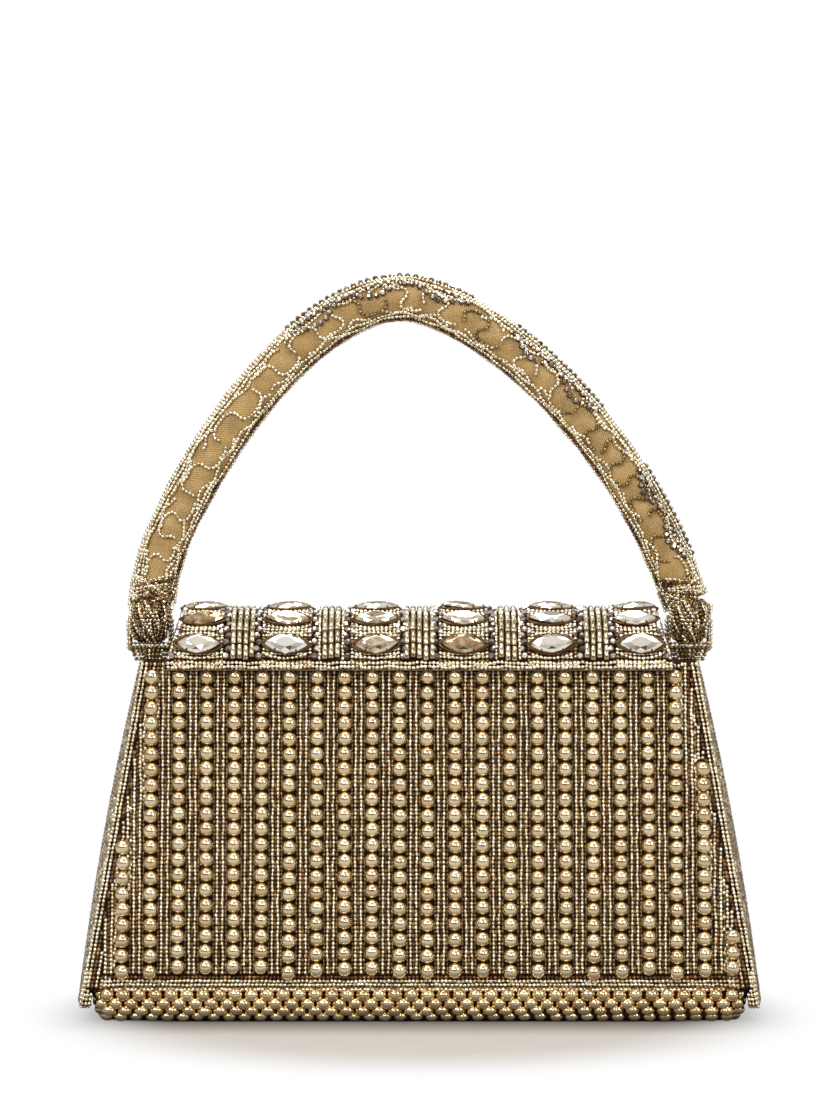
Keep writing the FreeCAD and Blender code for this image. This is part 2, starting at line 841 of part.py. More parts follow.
def build_handle():
    curve = handle_curve()
    gap = dim("layer_gap")
    core_width, core_depth = dim("handle_core_half_width"), dim("handle_core_half_depth")
    hollow = oval_at_start(curve, core_width + gap, core_depth + gap)
    outside = oval_at_start(curve, dim("handle_cover_half_width"), dim("handle_cover_half_depth"))
    add_shape("handle_core", swept_solid(curve, oval_at_start(curve, core_width, core_depth)))
    add_shape("handle_cover", swept_tube(curve, outside, hollow))

    edges = []
    for side in (-1, 1):
        track = handle_curve(side * dim("handle_edge_offset"))
        edges.append(swept_solid(track, circle_at_start(track, dim("handle_edge_radius"))))
    add_shape("handle_edge_beads", Part.makeCompound(edges))

    front = dim("handle_cover_half_depth") + gap
    stones = []
    for begin, end, count in ((0.42, 0.58, 14), (0.60, 0.70, 9), (0.78, 0.88, 9)):
        track = handle_curve(3.6)
        first, last = track.FirstParameter, track.LastParameter
        for number in range(count):
            share = begin + (end - begin) * number / (count - 1)
            point = track.value(first + (last - first) * share) + Vector(0, -front, 0)
            stones.append(Part.makeCone(1.1, 0.7, 1.0, point, Vector(0, -1, 0)))
    add_shape("handle_rhinestones", Part.makeCompound(stones))


def build_handle_ends():
    """Gathered beaded ends, each a rounded barrel that turns on its sewn bar."""
    pivot = Vector(dim("handle_end_x"), dim("handle_pivot_y"), dim("handle_pivot_z"))
    half = dim("handle_end_half_length")
    left_end = pivot - Vector(half, 0, 0)
    barrel = Part.makeCylinder(dim("handle_end_radius"), 2 * half, left_end, Vector(1, 0, 0))
    barrel = barrel.makeFillet(2.5, [edge for edge in barrel.Edges if edge.Closed])
    bore_radius = dim("handle_bar_radius") + dim("handle_bar_clearance")
    bore = Part.makeCylinder(bore_radius, 2 * half, left_end, Vector(1, 0, 0))
    right = barrel.cut(bore)
    add_shape("right_handle_end", right)
    add_shape("left_handle_end", mirrored_to_left(right))

    wall = dim("tab_thickness")
    reach = half + 0.3
    depth = dim("tab_half_depth")
    bottom = dim("tab_bottom")
    top = dim("tab_top")
    cheeks = []
    for side in (-1, 1):
        near = pivot.x + side * (reach + wall / 2) - wall / 2
        cheek = Part.makeBox(wall, 2 * depth, top - bottom, Vector(near, pivot.y - depth, bottom))
        cheeks.append(cheek)
    strap = Part.makeBox(
        2 * (reach + wall), 2 * depth, wall, Vector(pivot.x - reach - wall, pivot.y - depth, bottom)
    )
    bar_half = reach + wall
    bar = Part.makeCylinder(
        dim("handle_bar_radius"), 2 * bar_half, pivot - Vector(bar_half, 0, 0), Vector(1, 0, 0)
    )
    seat = dim("panel_top") + dim("layer_gap")
    inset = dim("tab_foot_inset")
    foot = Part.makeBox(
        1.5 * inset, 1.5 * depth, bottom - seat, Vector(pivot.x - inset, pivot.y - depth, seat)
    )
    tab = strap.fuse(cheeks + [bar, foot]).removeSplitter()
    add_shape("right_handle_tab", tab)
    add_shape("left_handle_tab", mirrored_to_left(tab))


def build_hinge_tape():
    """A woven tape on the back panel's top edge, and the piping cord that the flap folds about."""
    tape = new_body("hinge_tape")
    sketch = new_sketch(tape, "Outline", "XZ_Plane", "dims.layer_gap")
    low = f"{SLOPE} - 4.6"
    half = "dims.flap_half_width_crest - 2"
    draw_polygon(
        sketch,
        [(f"-({half})", low), (half, low), (half, SLOPE), (f"-({half})", SLOPE)],
    )
    pad(tape, sketch, "0.5")
    tape.Placement = back_placement

    cord = doc.addObject("Part::Cylinder", "hinge_cord")
    cord.Label = "hinge_cord"
    cord.setExpression("Radius", "dims.hinge_cord_radius")
    cord.setExpression("Height", "2 * (dims.flap_half_width_crest - 2)")
    cord.Placement = Placement(Vector(0, 0, 0), Rotation(Vector(0, 1, 0), 90))
    cord.setExpression("Placement.Base.x", "2 - dims.flap_half_width_crest")
    cord.setExpression("Placement.Base.y", "dims.hinge_axis_y")
    cord.setExpression("Placement.Base.z", "dims.hinge_axis_z")


build_base()
build_panels()
build_gussets()
build_lining()
build_flap_layers()
build_flap_edge_rows()
build_crystals()
build_rhinestones()
build_bugles()
build_handle()
build_handle_ends()
build_hinge_tape()
doc.recompute()

# ---------------------------------------------------------------- check and write
PIECE_TYPES = ("PartDesign::Body", "Part::Feature", "Part::Cylinder")
for item in doc.Objects:
    if "Invalid" in item.State or "Error" in item.State:
        raise RuntimeError(f"{item.Label} did not recompute: {item.State}")

for piece in [item for item in doc.Objects if item.TypeId in PIECE_TYPES]:
    if piece.Shape.isNull() or not piece.Shape.isValid() or not piece.Shape.Solids:
        raise RuntimeError(f"{piece.Label} has no valid solid")
    piece.Shape.exportStep(f"parts/{piece.Label}.step")
    print(piece.Label, len(piece.Shape.Solids), round(piece.Shape.Volume, 1))
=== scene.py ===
import math

import bpy
import numpy as np
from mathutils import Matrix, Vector


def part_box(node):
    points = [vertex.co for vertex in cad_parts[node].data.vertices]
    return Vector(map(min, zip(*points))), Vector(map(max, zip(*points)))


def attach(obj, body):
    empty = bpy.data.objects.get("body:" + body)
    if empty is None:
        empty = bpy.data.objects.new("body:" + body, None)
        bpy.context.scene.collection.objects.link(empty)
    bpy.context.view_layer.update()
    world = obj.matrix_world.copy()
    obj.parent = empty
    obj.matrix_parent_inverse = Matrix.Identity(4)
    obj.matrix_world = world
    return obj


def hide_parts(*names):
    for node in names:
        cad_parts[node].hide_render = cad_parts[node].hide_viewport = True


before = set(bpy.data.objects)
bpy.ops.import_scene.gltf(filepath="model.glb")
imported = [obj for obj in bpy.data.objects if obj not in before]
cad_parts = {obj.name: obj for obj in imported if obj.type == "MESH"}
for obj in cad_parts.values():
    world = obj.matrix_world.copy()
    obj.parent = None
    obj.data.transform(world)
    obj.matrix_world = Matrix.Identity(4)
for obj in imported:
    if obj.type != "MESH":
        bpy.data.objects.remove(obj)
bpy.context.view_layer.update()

# Looks of the beaded evening bag. Metres, +Z up, front facing -Y. Every bead is a real piece of mesh;
# all beads of one kind in one place are joined into one piece that rides on its CAD body.

MM = 0.001
TAU = 2 * math.pi
FRONT, BACK = -1, 1

# ---- stock beads and stones
SEED_RADIUS = 0.72 * MM
SEED_HALF = 0.66 * MM
SEED_PITCH = 1.42 * MM
ROUND_RADIUS = 2.66 * MM
ROUND_PITCH = 5.41 * MM
BUGLE_RADIUS = 0.98 * MM
BUGLE_LENGTH = 5.4 * MM
CRYSTAL_HALF_LENGTH = 7.5 * MM
CRYSTAL_HALF_WIDTH = 3.45 * MM

# ---- cloth layers
CLOTH_RIPPLE = 0.12 * MM
CLOTH_GAP = 0.3 * MM  # kept between a layer's edge and its neighbour
GROUND_THICKNESS = 0.95 * MM
LINING_THICKNESS = 0.5 * MM


# ---- sizes read from the frame
def node_points(name):
    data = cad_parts[name].data
    points = np.empty(len(data.vertices) * 3, np.float32)
    data.vertices.foreach_get("co", points)
    return points.reshape(-1, 3).astype(float)


def largest_near(points, axis, level, depth):
    """The largest coordinate on an axis among the points within a depth of a level."""
    return points[np.abs(points[:, 2] - level) < depth][:, axis].max()


cover = node_points("front_cover")
PANEL_LOW = cover[:, 2].min()
PANEL_HIGH = cover[:, 2].max()
HALF_WIDTH_LOW = cover[:, 0].max()
HALF_WIDTH_HIGH = largest_near(cover, 0, PANEL_HIGH, 2 * MM)
HALF_DEPTH_LOW = -cover[:, 1].min()
HALF_DEPTH_HIGH = largest_near(cover * [1, -1, 1], 1, PANEL_HIGH, 0.4 * MM)
SLOPE_LENGTH = math.hypot(PANEL_HIGH - PANEL_LOW, HALF_DEPTH_LOW - HALF_DEPTH_HIGH)
SLOPE = math.atan2(HALF_DEPTH_LOW - HALF_DEPTH_HIGH, PANEL_HIGH - PANEL_LOW)

GUSSET_LOW = node_points("right_gusset")[:, 2].min()

crown = node_points("flap_cover")
lip = crown[crown[:, 1].argmin()]
crown_high = crown[:, 2].max()
crown_rise = crown_high - lip[2]
FLAP_RADIUS = (lip[1] ** 2 + crown_rise**2) / (2 * crown_rise)
FLAP_CENTRE = crown_high - FLAP_RADIUS
FLAP_LIP_ANGLE = math.degrees(math.acos((lip[2] - FLAP_CENTRE) / FLAP_RADIUS))
FLAP_BACK_ANGLE = -math.degrees(math.asin(crown[:, 1].max() / FLAP_RADIUS))
FLAP_HALF_LOW = crown[:, 0].max()
FLAP_HALF_CREST = largest_near(crown, 0, crown_high, 0.4 * MM)

band_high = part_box("base_bead_band")[1]
tray_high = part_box("base_cover")[1]
core_low, core_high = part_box("handle_core")
end_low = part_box("right_handle_end")[0]
HANDLE_Y = (core_low.y + core_high.y) / 2
HANDLE_FOOT = end_low.x + 5.7 * MM
HANDLE_START = core_low.z
HANDLE_APEX = core_high.z - 5.2 * MM  # the core's own half width below its top


# ---- materials
class Tree:
    """A small helper round one node tree."""

    def __init__(self, tree):
        self.nodes = tree.nodes
        self.link = tree.links.new

    def node(self, kind, **settings):
        """A new node. Each setting is an input, with _ for a space, or a property of the node."""
        made = self.nodes.new(kind)
        for key, value in settings.items():
            socket = key.replace("_", " ")
            if socket in made.inputs:
                made.inputs[socket].default_value = value
            else:
                setattr(made, key, value)
        return made

    def ramp(self, source, stops):
        made = self.node("ShaderNodeValToRGB")
        elements = made.color_ramp.elements
        while len(elements) < len(stops):
            elements.new(0.5)
        for element, (place, colour) in zip(elements, stops):
            element.position = place
            element.color = (*colour, 1)
        self.link(source, made.inputs["Fac"])
        return made.outputs["Color"]

    def spread(self, source, low, high, **settings):
        """Maps a range of values to 0 to 1, or to the range that settings give."""
        made = self.node("ShaderNodeMapRange", From_Min=low, From_Max=high, **settings)
        self.link(source, made.inputs["Value"])
        return made.outputs["Result"]

    def separate(self, source):
        made = self.node("ShaderNodeSeparateXYZ")
        self.link(source, made.inputs["Vector"])
        return made.outputs

    def mix(self, factor, first, second):
        made = self.node("ShaderNodeMixShader")
        for socket, value in zip(made.inputs, (factor, first, second)):
            self.link(value, socket)
        return made.outputs["Shader"]


class Shader(Tree):
    """The node tree of a new material, with its main surface node."""

    def __init__(self, name):
        self.material = bpy.data.materials.new(name)
        self.material.use_nodes = True
        super().__init__(self.material.node_tree)
        self.surface = next(n for n in self.nodes if n.type == "BSDF_PRINCIPLED")

    def set(self, **values):
        """Sets inputs of the surface, to plain values or to the outputs of other nodes."""
        for key, value in values.items():
            socket = self.surface.inputs[key.replace("_", " ")]
            if isinstance(value, bpy.types.NodeSocket):
                self.link(value, socket)
            else:
                socket.default_value = value

    def tone(self):
        return self.node("ShaderNodeAttribute", attribute_name="tone").outputs["Fac"]

    def place(self):
        return self.node("ShaderNodeTexCoord").outputs["Object"]

    def noise(self, scale, detail):
        made = self.node("ShaderNodeTexNoise", Scale=scale, Detail=detail)
        self.link(self.place(), made.inputs["Vector"])
        return made.outputs["Fac"]

    def bump(self, height, strength, distance):
        made = self.node("ShaderNodeBump", Strength=strength, Distance=distance)
        self.link(height, made.inputs["Height"])
        self.set(Normal=made.outputs["Normal"])

    def math(self, operation, first, second=0.0):
        made = self.node("ShaderNodeMath", operation=operation)
        for socket, value in zip(made.inputs, (first, second)):
            if isinstance(value, (int, float)):
                socket.default_value = value
            else:
                self.link(value, socket)
        return made.outputs["Value"]

    def times(self, first, second):
        return self.math("MULTIPLY", first, second)


def bead_material(name, stops, metallic, roughness, coat=0.0):
    """Beads whose colour varies from one bead to the next, by the tone stored on each."""
    shader = Shader(name)
    shader.set(Base_Color=shader.ramp(shader.tone(), stops))
    wear = shader.times(shader.noise(900.0, 2.0), roughness * 0.8)
    shader.set(Roughness=shader.math("ADD", wear, roughness * 0.6))
    shader.set(Metallic=metallic, Coat_Weight=coat, Coat_Roughness=0.08)
    return shader.material


def weave_material(name, dark, light, threads, roughness, sheen=0.0, specular=0.5, plain=False):
    """Woven cloth: crossing waves of so many threads a metre, with slubs. It is twill on the piece's
    own "weave" coordinates, or plain on its object coordinates."""
    shader = Shader(name)
    if plain:
        place = shader.place()
    else:
        place = shader.node("ShaderNodeUVMap", uv_map="weave").outputs["UV"]
    across, along, _ = shader.separate(place)
    slant = along if plain else shader.math("ADD", across, along)
    first = shader.math("SINE", shader.times(slant, TAU * threads))
    cross = shader.math("SUBTRACT", across, shader.times(along, 0.35))
    second = shader.math("SINE", shader.times(cross, TAU * threads * 1.4))
    height = shader.math("ADD", first, shader.times(second, 0.5))
    slubs = shader.noise(160.0, 5.0)
    shade = shader.math("ADD", shader.times(height, 0.16), slubs)
    shader.set(Base_Color=shader.ramp(shade, [(0.2, dark), (0.8, light)]))
    shader.set(Roughness=roughness, Sheen_Weight=sheen, Sheen_Roughness=0.4, Specular_IOR_Level=specular)
    shader.bump(height, 0.5, 0.12 * MM)
    return shader.material


def stone_material(name, colour, edge, metallic):
    """Foil-backed cut glass: bright facets with a slight change of tone from stone to stone."""
    shader = Shader(name)
    tone = shader.tone()
    streak = shader.noise(520.0, 4.0)
    mixed = shader.math("ADD", shader.times(tone, 0.55), shader.times(streak, 0.55))
    shader.set(Base_Color=shader.ramp(mixed, [(0.25, edge), (0.5, colour), (0.8, (1.0, 0.98, 0.94))]))
    shader.set(Metallic=metallic, Roughness=0.04, Coat_Weight=1.0, Coat_Roughness=0.0)
    return shader.material


def plain_material(name, colour, metallic, roughness, scale=300.0):
    """A worked surface: fine mottling in colour and roughness."""
    shader = Shader(name)
    grain = shader.noise(scale, 6.0)
    low = tuple(0.7 * part for part in colour)
    shader.set(Base_Color=shader.ramp(grain, [(0.3, low), (0.7, colour)]))
    shader.set(Roughness=shader.math("ADD", shader.times(grain, 0.25), roughness - 0.12))
    shader.set(Metallic=metallic)
    shader.bump(grain, 0.25, 0.1 * MM)
    return shader.material


def two_tone(low, high):
    return [(0.0, low), (1.0, high)]


GOLD = bead_material("gold_beads", two_tone((0.68, 0.54, 0.34), (0.87, 0.75, 0.53)), 1.0, 0.08)
BASE_GOLD = bead_material("base_gold_beads", two_tone((0.58, 0.44, 0.25), (0.84, 0.70, 0.45)), 1.0, 0.11)
SEED_COLOURS = [(0.0, (0.55, 0.43, 0.25)), (0.3, (0.82, 0.72, 0.51)), (1.0, (0.98, 0.93, 0.77))]
SEED = bead_material("champagne_seeds", SEED_COLOURS, 0.85, 0.15, 0.7)
COPPER_COLOURS = [(0.0, (0.06, 0.02, 0.006)), (0.7, (0.21, 0.095, 0.03)), (1.0, (0.42, 0.25, 0.10))]
COPPER = bead_material("copper_seeds", COPPER_COLOURS, 0.75, 0.22, 0.5)
OLIVE = bead_material("olive_seeds", two_tone((0.16, 0.105, 0.035), (0.40, 0.29, 0.13)), 0.85, 0.2, 0.4)
BUGLE = bead_material("bugle_glass", two_tone((0.36, 0.28, 0.16), (0.66, 0.56, 0.39)), 0.85, 0.16, 0.8)
CRYSTAL = stone_material("crystal", (0.95, 0.86, 0.70), (0.42, 0.25, 0.10), 0.92)
RHINESTONE = stone_material("rhinestone", (0.52, 0.47, 0.47), (0.12, 0.08, 0.07), 0.9)
ANTIQUE = plain_material("antique_metal", (0.11, 0.065, 0.03), 0.9, 0.32, 900.0)
GROUND = weave_material(
    "ground_cloth", (0.010, 0.003, 0.001), (0.045, 0.017, 0.005), 1500.0, 0.8, specular=0.12
)
SATIN = weave_material("handle_satin", (0.24, 0.14, 0.04), (0.52, 0.34, 0.12), 1250.0, 0.42, 0.15)
LINING = weave_material("lining_satin", (0.33, 0.24, 0.13), (0.50, 0.38, 0.22), 2200.0, 0.38, 0.4)
TAPE = weave_material("cotton_tape", (0.22, 0.15, 0.07), (0.38, 0.27, 0.14), 900.0, 0.8, plain=True)
BOARD = plain_material("fibreboard", (0.34, 0.26, 0.17), 0.0, 0.85)
STEEL = plain_material("magnet_steel", (0.55, 0.55, 0.57), 1.0, 0.30)
PADDING = plain_material("padding", (0.75, 0.71, 0.64), 0.0, 0.9)


# ---- points and paths
def points_of(x, y, z):
    """Points from three coordinates, any of which may be a single number."""
    return np.stack(np.broadcast_arrays(x, y, z), axis=-1)


def raised(outline, height):
    """A flat outline as points at a height."""
    return points_of(outline[:, 0], outline[:, 1], height)


def grid(first, second):
    return np.meshgrid(first, second, indexing="ij")


def unit(vectors):
    return vectors / np.linalg.norm(vectors, axis=-1, keepdims=True)


def reach_of(path):
    """The length along a path at each of its points."""
    return np.concatenate([[0.0], np.cumsum(np.linalg.norm(np.diff(path, axis=0), axis=1))])


def sample(at, reach, path):
    """The points of a path at given lengths along it."""
    return np.stack([np.interp(at, reach, values) for values in path.T], -1)


# ---- mesh building
def make_piece(name, points, faces, material, body, node=None, smooth=True, tone=None, weave=None):
    """A mesh riding on a CAD body, in place of a node if one is given. faces is a list of
    equal-sided corner arrays."""
    mesh = bpy.data.meshes.new(name)
    points = np.asarray(points, np.float32)
    mesh.vertices.add(len(points))
    mesh.vertices.foreach_set("co", points.ravel())
    corners = np.concatenate([np.asarray(block, np.int32).ravel() for block in faces])
    sizes = np.concatenate([np.full(len(block), len(block[0]), np.int32) for block in faces])
    starts = np.concatenate([[0], np.cumsum(sizes)[:-1]]).astype(np.int32)
    mesh.loops.add(len(corners))
    mesh.loops.foreach_set("vertex_index", corners)
    mesh.polygons.add(len(sizes))
    mesh.polygons.foreach_set("loop_start", starts)
    mesh.polygons.foreach_set("use_smooth", np.full(len(sizes), smooth))
    mesh.update(calc_edges=True)
    if tone is not None:
        mesh.attributes.new("tone", "FLOAT", "POINT")
        mesh.attributes["tone"].data.foreach_set("value", np.asarray(tone, np.float32))
    if weave is not None:
        layer = mesh.uv_layers.new(name="weave")
        layer.data.foreach_set("uv", np.asarray(weave, np.float32)[corners].ravel())
    mesh.materials.append(material)
    made = bpy.data.objects.new(name, mesh)
    bpy.context.scene.collection.objects.link(made)
    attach(made, body)
    if node:
        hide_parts(node)


def grid_faces(rows, columns, wrap=False):
    """Quads of a rows by columns grid of points; wrap joins the last column to the first."""
    across = columns if wrap else columns - 1
    row, column = grid(np.arange(rows - 1), np.arange(across))
    after = (column + 1) % columns
    corners = [row * columns + column, row * columns + after]
    corners += [(row + 1) * columns + after, (row + 1) * columns + column]
    return np.stack(corners, axis=-1).reshape(-1, 4)


def skin_faces(rings, count):
    """Quads over a stack of rings of points, and a flat face at each end."""
    low = np.arange(count)[::-1]
    high = np.arange(count) + (rings - 1) * count
    return [grid_faces(rings, count, wrap=True), np.array([low, high])]


def skin(name, rings, material, body, node, weave=None, flipped=False):
    """A closed piece over a stack of rings of points."""
    faces = skin_faces(*rings.shape[:2])
    if flipped:
        faces = [block[:, ::-1] for block in faces]
    if weave is not None:
        weave = weave.reshape(-1, 2)
    make_piece(name, rings.reshape(-1, 3), faces, material, body, node, weave=weave)


def slab(name, outer, inner, material, body, node, weave):
    """A closed sheet with real thickness between two grids of points of the same size."""
    rows, columns = outer.shape[:2]
    top = grid_faces(rows, columns)
    bottom = top[:, ::-1] + rows * columns
    border = [(0, c) for c in range(columns)] + [(r, columns - 1) for r in range(1, rows)]
    border += [(rows - 1, c) for c in range(columns - 2, -1, -1)] + [(r, 0) for r in range(rows - 2, 0, -1)]
    loop = np.array([r * columns + c for r, c in border])
    after = np.roll(loop, -1)
    rim = np.stack([after, loop, loop + rows * columns, after + rows * columns], axis=1)
    points = np.concatenate([outer.reshape(-1, 3), inner.reshape(-1, 3)])
    uv = np.concatenate([weave.reshape(-1, 2)] * 2)
    make_piece(name, points, [top, bottom, rim], material, body, node, weave=uv)


def ripple(u, v, size, seed):
    """A smooth unevenness of cloth: a few crossing waves of the given height."""
    state = np.random.RandomState(seed)
    total = 0.0
    for _ in range(5):
        angle, phase = state.uniform(0, TAU, 2)
        length = state.uniform(9, 34) * MM
        total = total + np.sin(TAU * (u * math.cos(angle) + v * math.sin(angle)) / length + phase)
    return size * total / 5


def lathe(profile, sides):
    """A closed unit shape about Z from (radius, height) pairs, low end first. Returns points, faces."""
    turn = TAU * np.arange(sides) / sides
    rings = [points_of(radius * np.cos(turn), radius * np.sin(turn), height) for radius, height in profile]
    return np.concatenate(rings), skin_faces(len(profile), sides)


def ball_profile(rings):
    steps = [math.pi * (ring + 0.5) / (rings + 1) for ring in range(rings + 1)]
    return [(math.sin(step), -math.cos(step)) for step in steps]


SEED_SHAPE = lathe([(0.55, -1.0), (1.0, 0.0), (0.55, 1.0)], 6)
ROUND_SHAPE = lathe(ball_profile(9), 14)
BUGLE_SHAPE = lathe([(0.7, -1.0), (1.0, -0.94), (1.0, 0.94), (0.7, 1.0)], 8)
STONE_SHAPE = lathe([(0.7, 0.0), (1.0, 0.45), (0.85, 0.8), (0.5, 1.0)], 8)
CUP_SHAPE = lathe([(1.1, 0.0), (1.35, 0.1), (1.3, 0.5), (1.08, 0.55)], 8)


# ---- beads
ANY_FACING = (0.31, 0.83, 0.46)  # for beads that look the same all round


class Beads:
    """Collects beads of one kind, then joins them into one piece."""

    def __init__(self, shape, seed):
        self.shape = shape
        self.random = np.random.RandomState(seed)
        self.centres, self.frames, self.scales = [], [], []

    def keep(self, centres, frames, scales):
        self.centres.append(centres)
        self.frames.append(np.stack(frames, axis=1))
        self.scales.append(np.broadcast_to(np.asarray(scales, float), centres.shape))

    def add(self, centres, along, scales, facing=ANY_FACING):
        """Beads whose third axis runs along their thread."""
        centres = np.asarray(centres, float).reshape(-1, 3)
        if not len(centres):
            return
        along = unit(np.broadcast_to(np.asarray(along, float), centres.shape))
        side = unit(np.cross(np.broadcast_to(facing, centres.shape), along))
        self.keep(centres, [side, np.cross(along, side), along], scales)

    def add_turned(self, centre, along, facing, scales):
        """One stone whose first axis runs along, and whose third axis faces out."""
        face = unit(np.reshape(facing, (1, 3)))
        wide = unit(np.cross(face, along))
        self.keep(np.reshape(centre, (1, 3)), [np.cross(wide, face), wide, face], scales)

    def along_path(self, path, radius=SEED_RADIUS, clear_of=()):
        """Strings seed beads on a path, with small slips in place, size and direction. It leaves out
        those whose middle is nearer to other beads than the room given with them."""
        reach = reach_of(path)
        count = int(reach[-1] / SEED_PITCH)
        if count < 1:
            return
        at = (np.arange(count) + 0.5) * reach[-1] / count
        at = at + self.random.uniform(-0.5, 0.5, count) * 0.06 * SEED_PITCH
        ahead, behind = (sample(at + step * SEED_PITCH, reach, path) for step in (0.25, -0.25))
        direction = ahead - behind
        direction /= np.maximum(np.linalg.norm(direction, axis=1, keepdims=True), 1e-9)
        direction += self.random.normal(0, 0.07, direction.shape)
        spot = sample(at, reach, path) + self.random.normal(0, 0.05 * MM, direction.shape)
        grow = self.random.uniform(0.9, 1.08, (count, 1))
        free = np.ones(count, bool)
        for others, room in clear_of:
            gaps = np.linalg.norm(spot[:, None] - others[None], axis=2)
            free &= gaps.min(axis=1) > room
        self.add(spot[free], direction[free], np.array([[radius, radius, SEED_HALF]]) * grow[free])

    def join(self, name, material, body, node=None, smooth=True):
        local, faces = self.shape
        centres, frames, scales = (np.concatenate(a) for a in (self.centres, self.frames, self.scales))
        points = np.einsum("nvk,nkj->nvj", local * scales[:, None], frames) + centres[:, None]
        shift = (np.arange(len(centres)) * len(local))[:, None, None]
        faces = [(block[None] + shift).reshape(-1, block.shape[1]) for block in faces]
        tone = np.repeat(self.random.uniform(0, 1, len(centres)), len(local))
        make_piece(name, points.reshape(-1, 3), faces, material, body, node, smooth, tone)


def seed_beads(*seeds):
    return [Beads(SEED_SHAPE, seed) for seed in seeds]


def join_seeds(name, body, bright, dark=None, olive=None, node=None):
    """Joins the seed beads of one place, each colour into its own piece."""
    bright.join(name + "_seed_beads", SEED, body, node)
    if dark:
        dark.join(name + "_copper_beads", COPPER, body)
    if olive:
        olive.join(name + "_olive_beads", OLIVE, body)


def set_stone(cups, stones, spot, along, out, lean, rise, cup_size, stone_size):
    """A small stone, leaning a little, in its metal cup."""
    cups.add_turned(spot, along, out, cup_size)
    stones.add_turned(spot + out * rise, along, lean, stone_size)


def round_size(wide, tall):
    return np.array([wide, wide, tall]) * MM


# ---- front and back panels
COLUMNS = 23
COLUMN_PITCH = 9.67 * MM
COLUMN_SHIFT = 2.7 * MM  # of the whole set of columns, to one side
FLANK = 3.78 * MM  # from a column's middle to the bright line beside it
NEAR = 2.62 * MM  # and to the thin olive line half under its beads
UNDER_RADIUS = 0.5 * MM
ROUND_STAND = 0.96  # how far a round bead's middle stands out, as a share of its radius
ROUND_SQUEEZE = 0.985  # how tightly a column may be strung, as a share of the pitch
ROUND_FILL = 0.494  # a bead's largest radius as a share of its pitch, so that it clears the next
LAST_SHARE = 0.45  # the share of a pitch that is room enough for one more bead
BEAD_LOWEST = 17.1 * MM
BEAD_HIGHEST = 119.6 * MM
LINE_LOW = 16.4 * MM
LINE_TOP = SLOPE_LENGTH - 0.9 * MM
LINE_ROOM = 2.6 * MM  # between a line's end and the slanted edge
LINE_LIFT = 0.7 * MM
STUBS = (-1.5 * MM, 0.0, 1.5 * MM)  # short lines that fill a column past its beads
EDGE_LINES = 12
EDGE_STEP = 0.71 * MM
COPPER_EDGES = (2, 6)
CLEAR_OF_SEEDS = 1.12 * MM  # between the middle of an edge line's bead and the others
CLEAR_OF_ROUNDS = 2.7 * MM
FOOT_ROWS = ((11.8, "dark"), (12.8, "bright"), (14.1, "bright"), (15.4, "dark"))


def panel_point(side, across, up, out):
    """A point over the front or back panel: across it, up its slope, and out from its cloth."""
    deep = HALF_DEPTH_LOW - up * math.sin(SLOPE) + out * math.cos(SLOPE)
    height = PANEL_LOW + up * math.cos(SLOPE) + out * math.sin(SLOPE)
    return points_of(across, side * deep, height)


def panel_half_width(up):
    return HALF_WIDTH_LOW + up / SLOPE_LENGTH * (HALF_WIDTH_HIGH - HALF_WIDTH_LOW)


def slope_at(height, out):
    """How far up a panel's slope a point at that height lies, for something standing out from it."""
    return (height - PANEL_LOW - out * math.sin(SLOPE)) / math.cos(SLOPE)


def line_end(across, room):
    """Where a vertical line at this distance from the middle runs into the slanted edge."""
    slant = (HALF_WIDTH_LOW - HALF_WIDTH_HIGH) / SLOPE_LENGTH
    return min(LINE_TOP, (HALF_WIDTH_LOW - room - abs(across)) / slant)


def panel_ground(side, name, seed):
    up, share = grid(np.linspace(0, SLOPE_LENGTH, 56), np.linspace(-1, 1, 84))
    across = share * (panel_half_width(up) - CLOTH_GAP)
    outer = panel_point(side, across, up, ripple(across, up, CLOTH_RIPPLE, seed))
    inner = panel_point(side, across, up, -GROUND_THICKNESS)
    weave = np.stack([across, up], -1)
    slab(name + "_ground", outer, inner, GROUND, "bag", name + "_cover", weave)


def string_column(first, last, full):
    """How many round beads a column takes, and their pitch. A full column is strung to fit exactly."""
    count = int((last - first) / (ROUND_PITCH * ROUND_SQUEEZE)) + 1
    if not full:
        return count, ROUND_PITCH
    count += int((last - first) / ROUND_PITCH + 1 - count > LAST_SHARE)
    return count, (last - first) / (count - 1)


def add_column_lines(side, across, column, state, bright, dark, under):
    """The lines of seeds on both sides of a column. Returns how far up the last of them reaches."""
    low, reached = slope_at(LINE_LOW, SEED_RADIUS), None
    lines = [
        (-FLANK, bright, 0.75),
        (FLANK, bright, 0.75),
        (-NEAR, under, 0.45),
        (NEAR, under, 0.45),
        (side * COLUMN_PITCH / 2, dark, 0.30),
    ]
    if column in (0, COLUMNS - 1):
        outward = math.copysign(1.0, across)
        lines.append((outward * COLUMN_PITCH / 2, dark, 0.42))
        lines.append((outward * (COLUMN_PITCH - FLANK), bright, 0.75))
    for shift, kind, lift in lines:
        high = line_end(across + shift, LINE_ROOM)
        if high - low < 3 * MM:
            continue
        ups = np.linspace(low, high, max(3, int((high - low) / (4 * MM))))
        place = across + shift + state.normal(0, 0.10, len(ups)) * MM
        radius = UNDER_RADIUS if kind is under else SEED_RADIUS
        kind.along_path(panel_point(side, place, ups, lift * MM), radius)
        reached = high
    return reached


def add_stubs(side, across, start, covered, bright):
    """Fills a column past its round beads, up to the slanted edge, or under the flap if covered."""
    for place in (across + shift for shift in STUBS):
        high = LINE_TOP if covered else line_end(place, LINE_ROOM)
        if covered or high - start > 2 * MM:
            bright.along_path(panel_point(side, place, np.linspace(start, high, 4), LINE_LIFT))


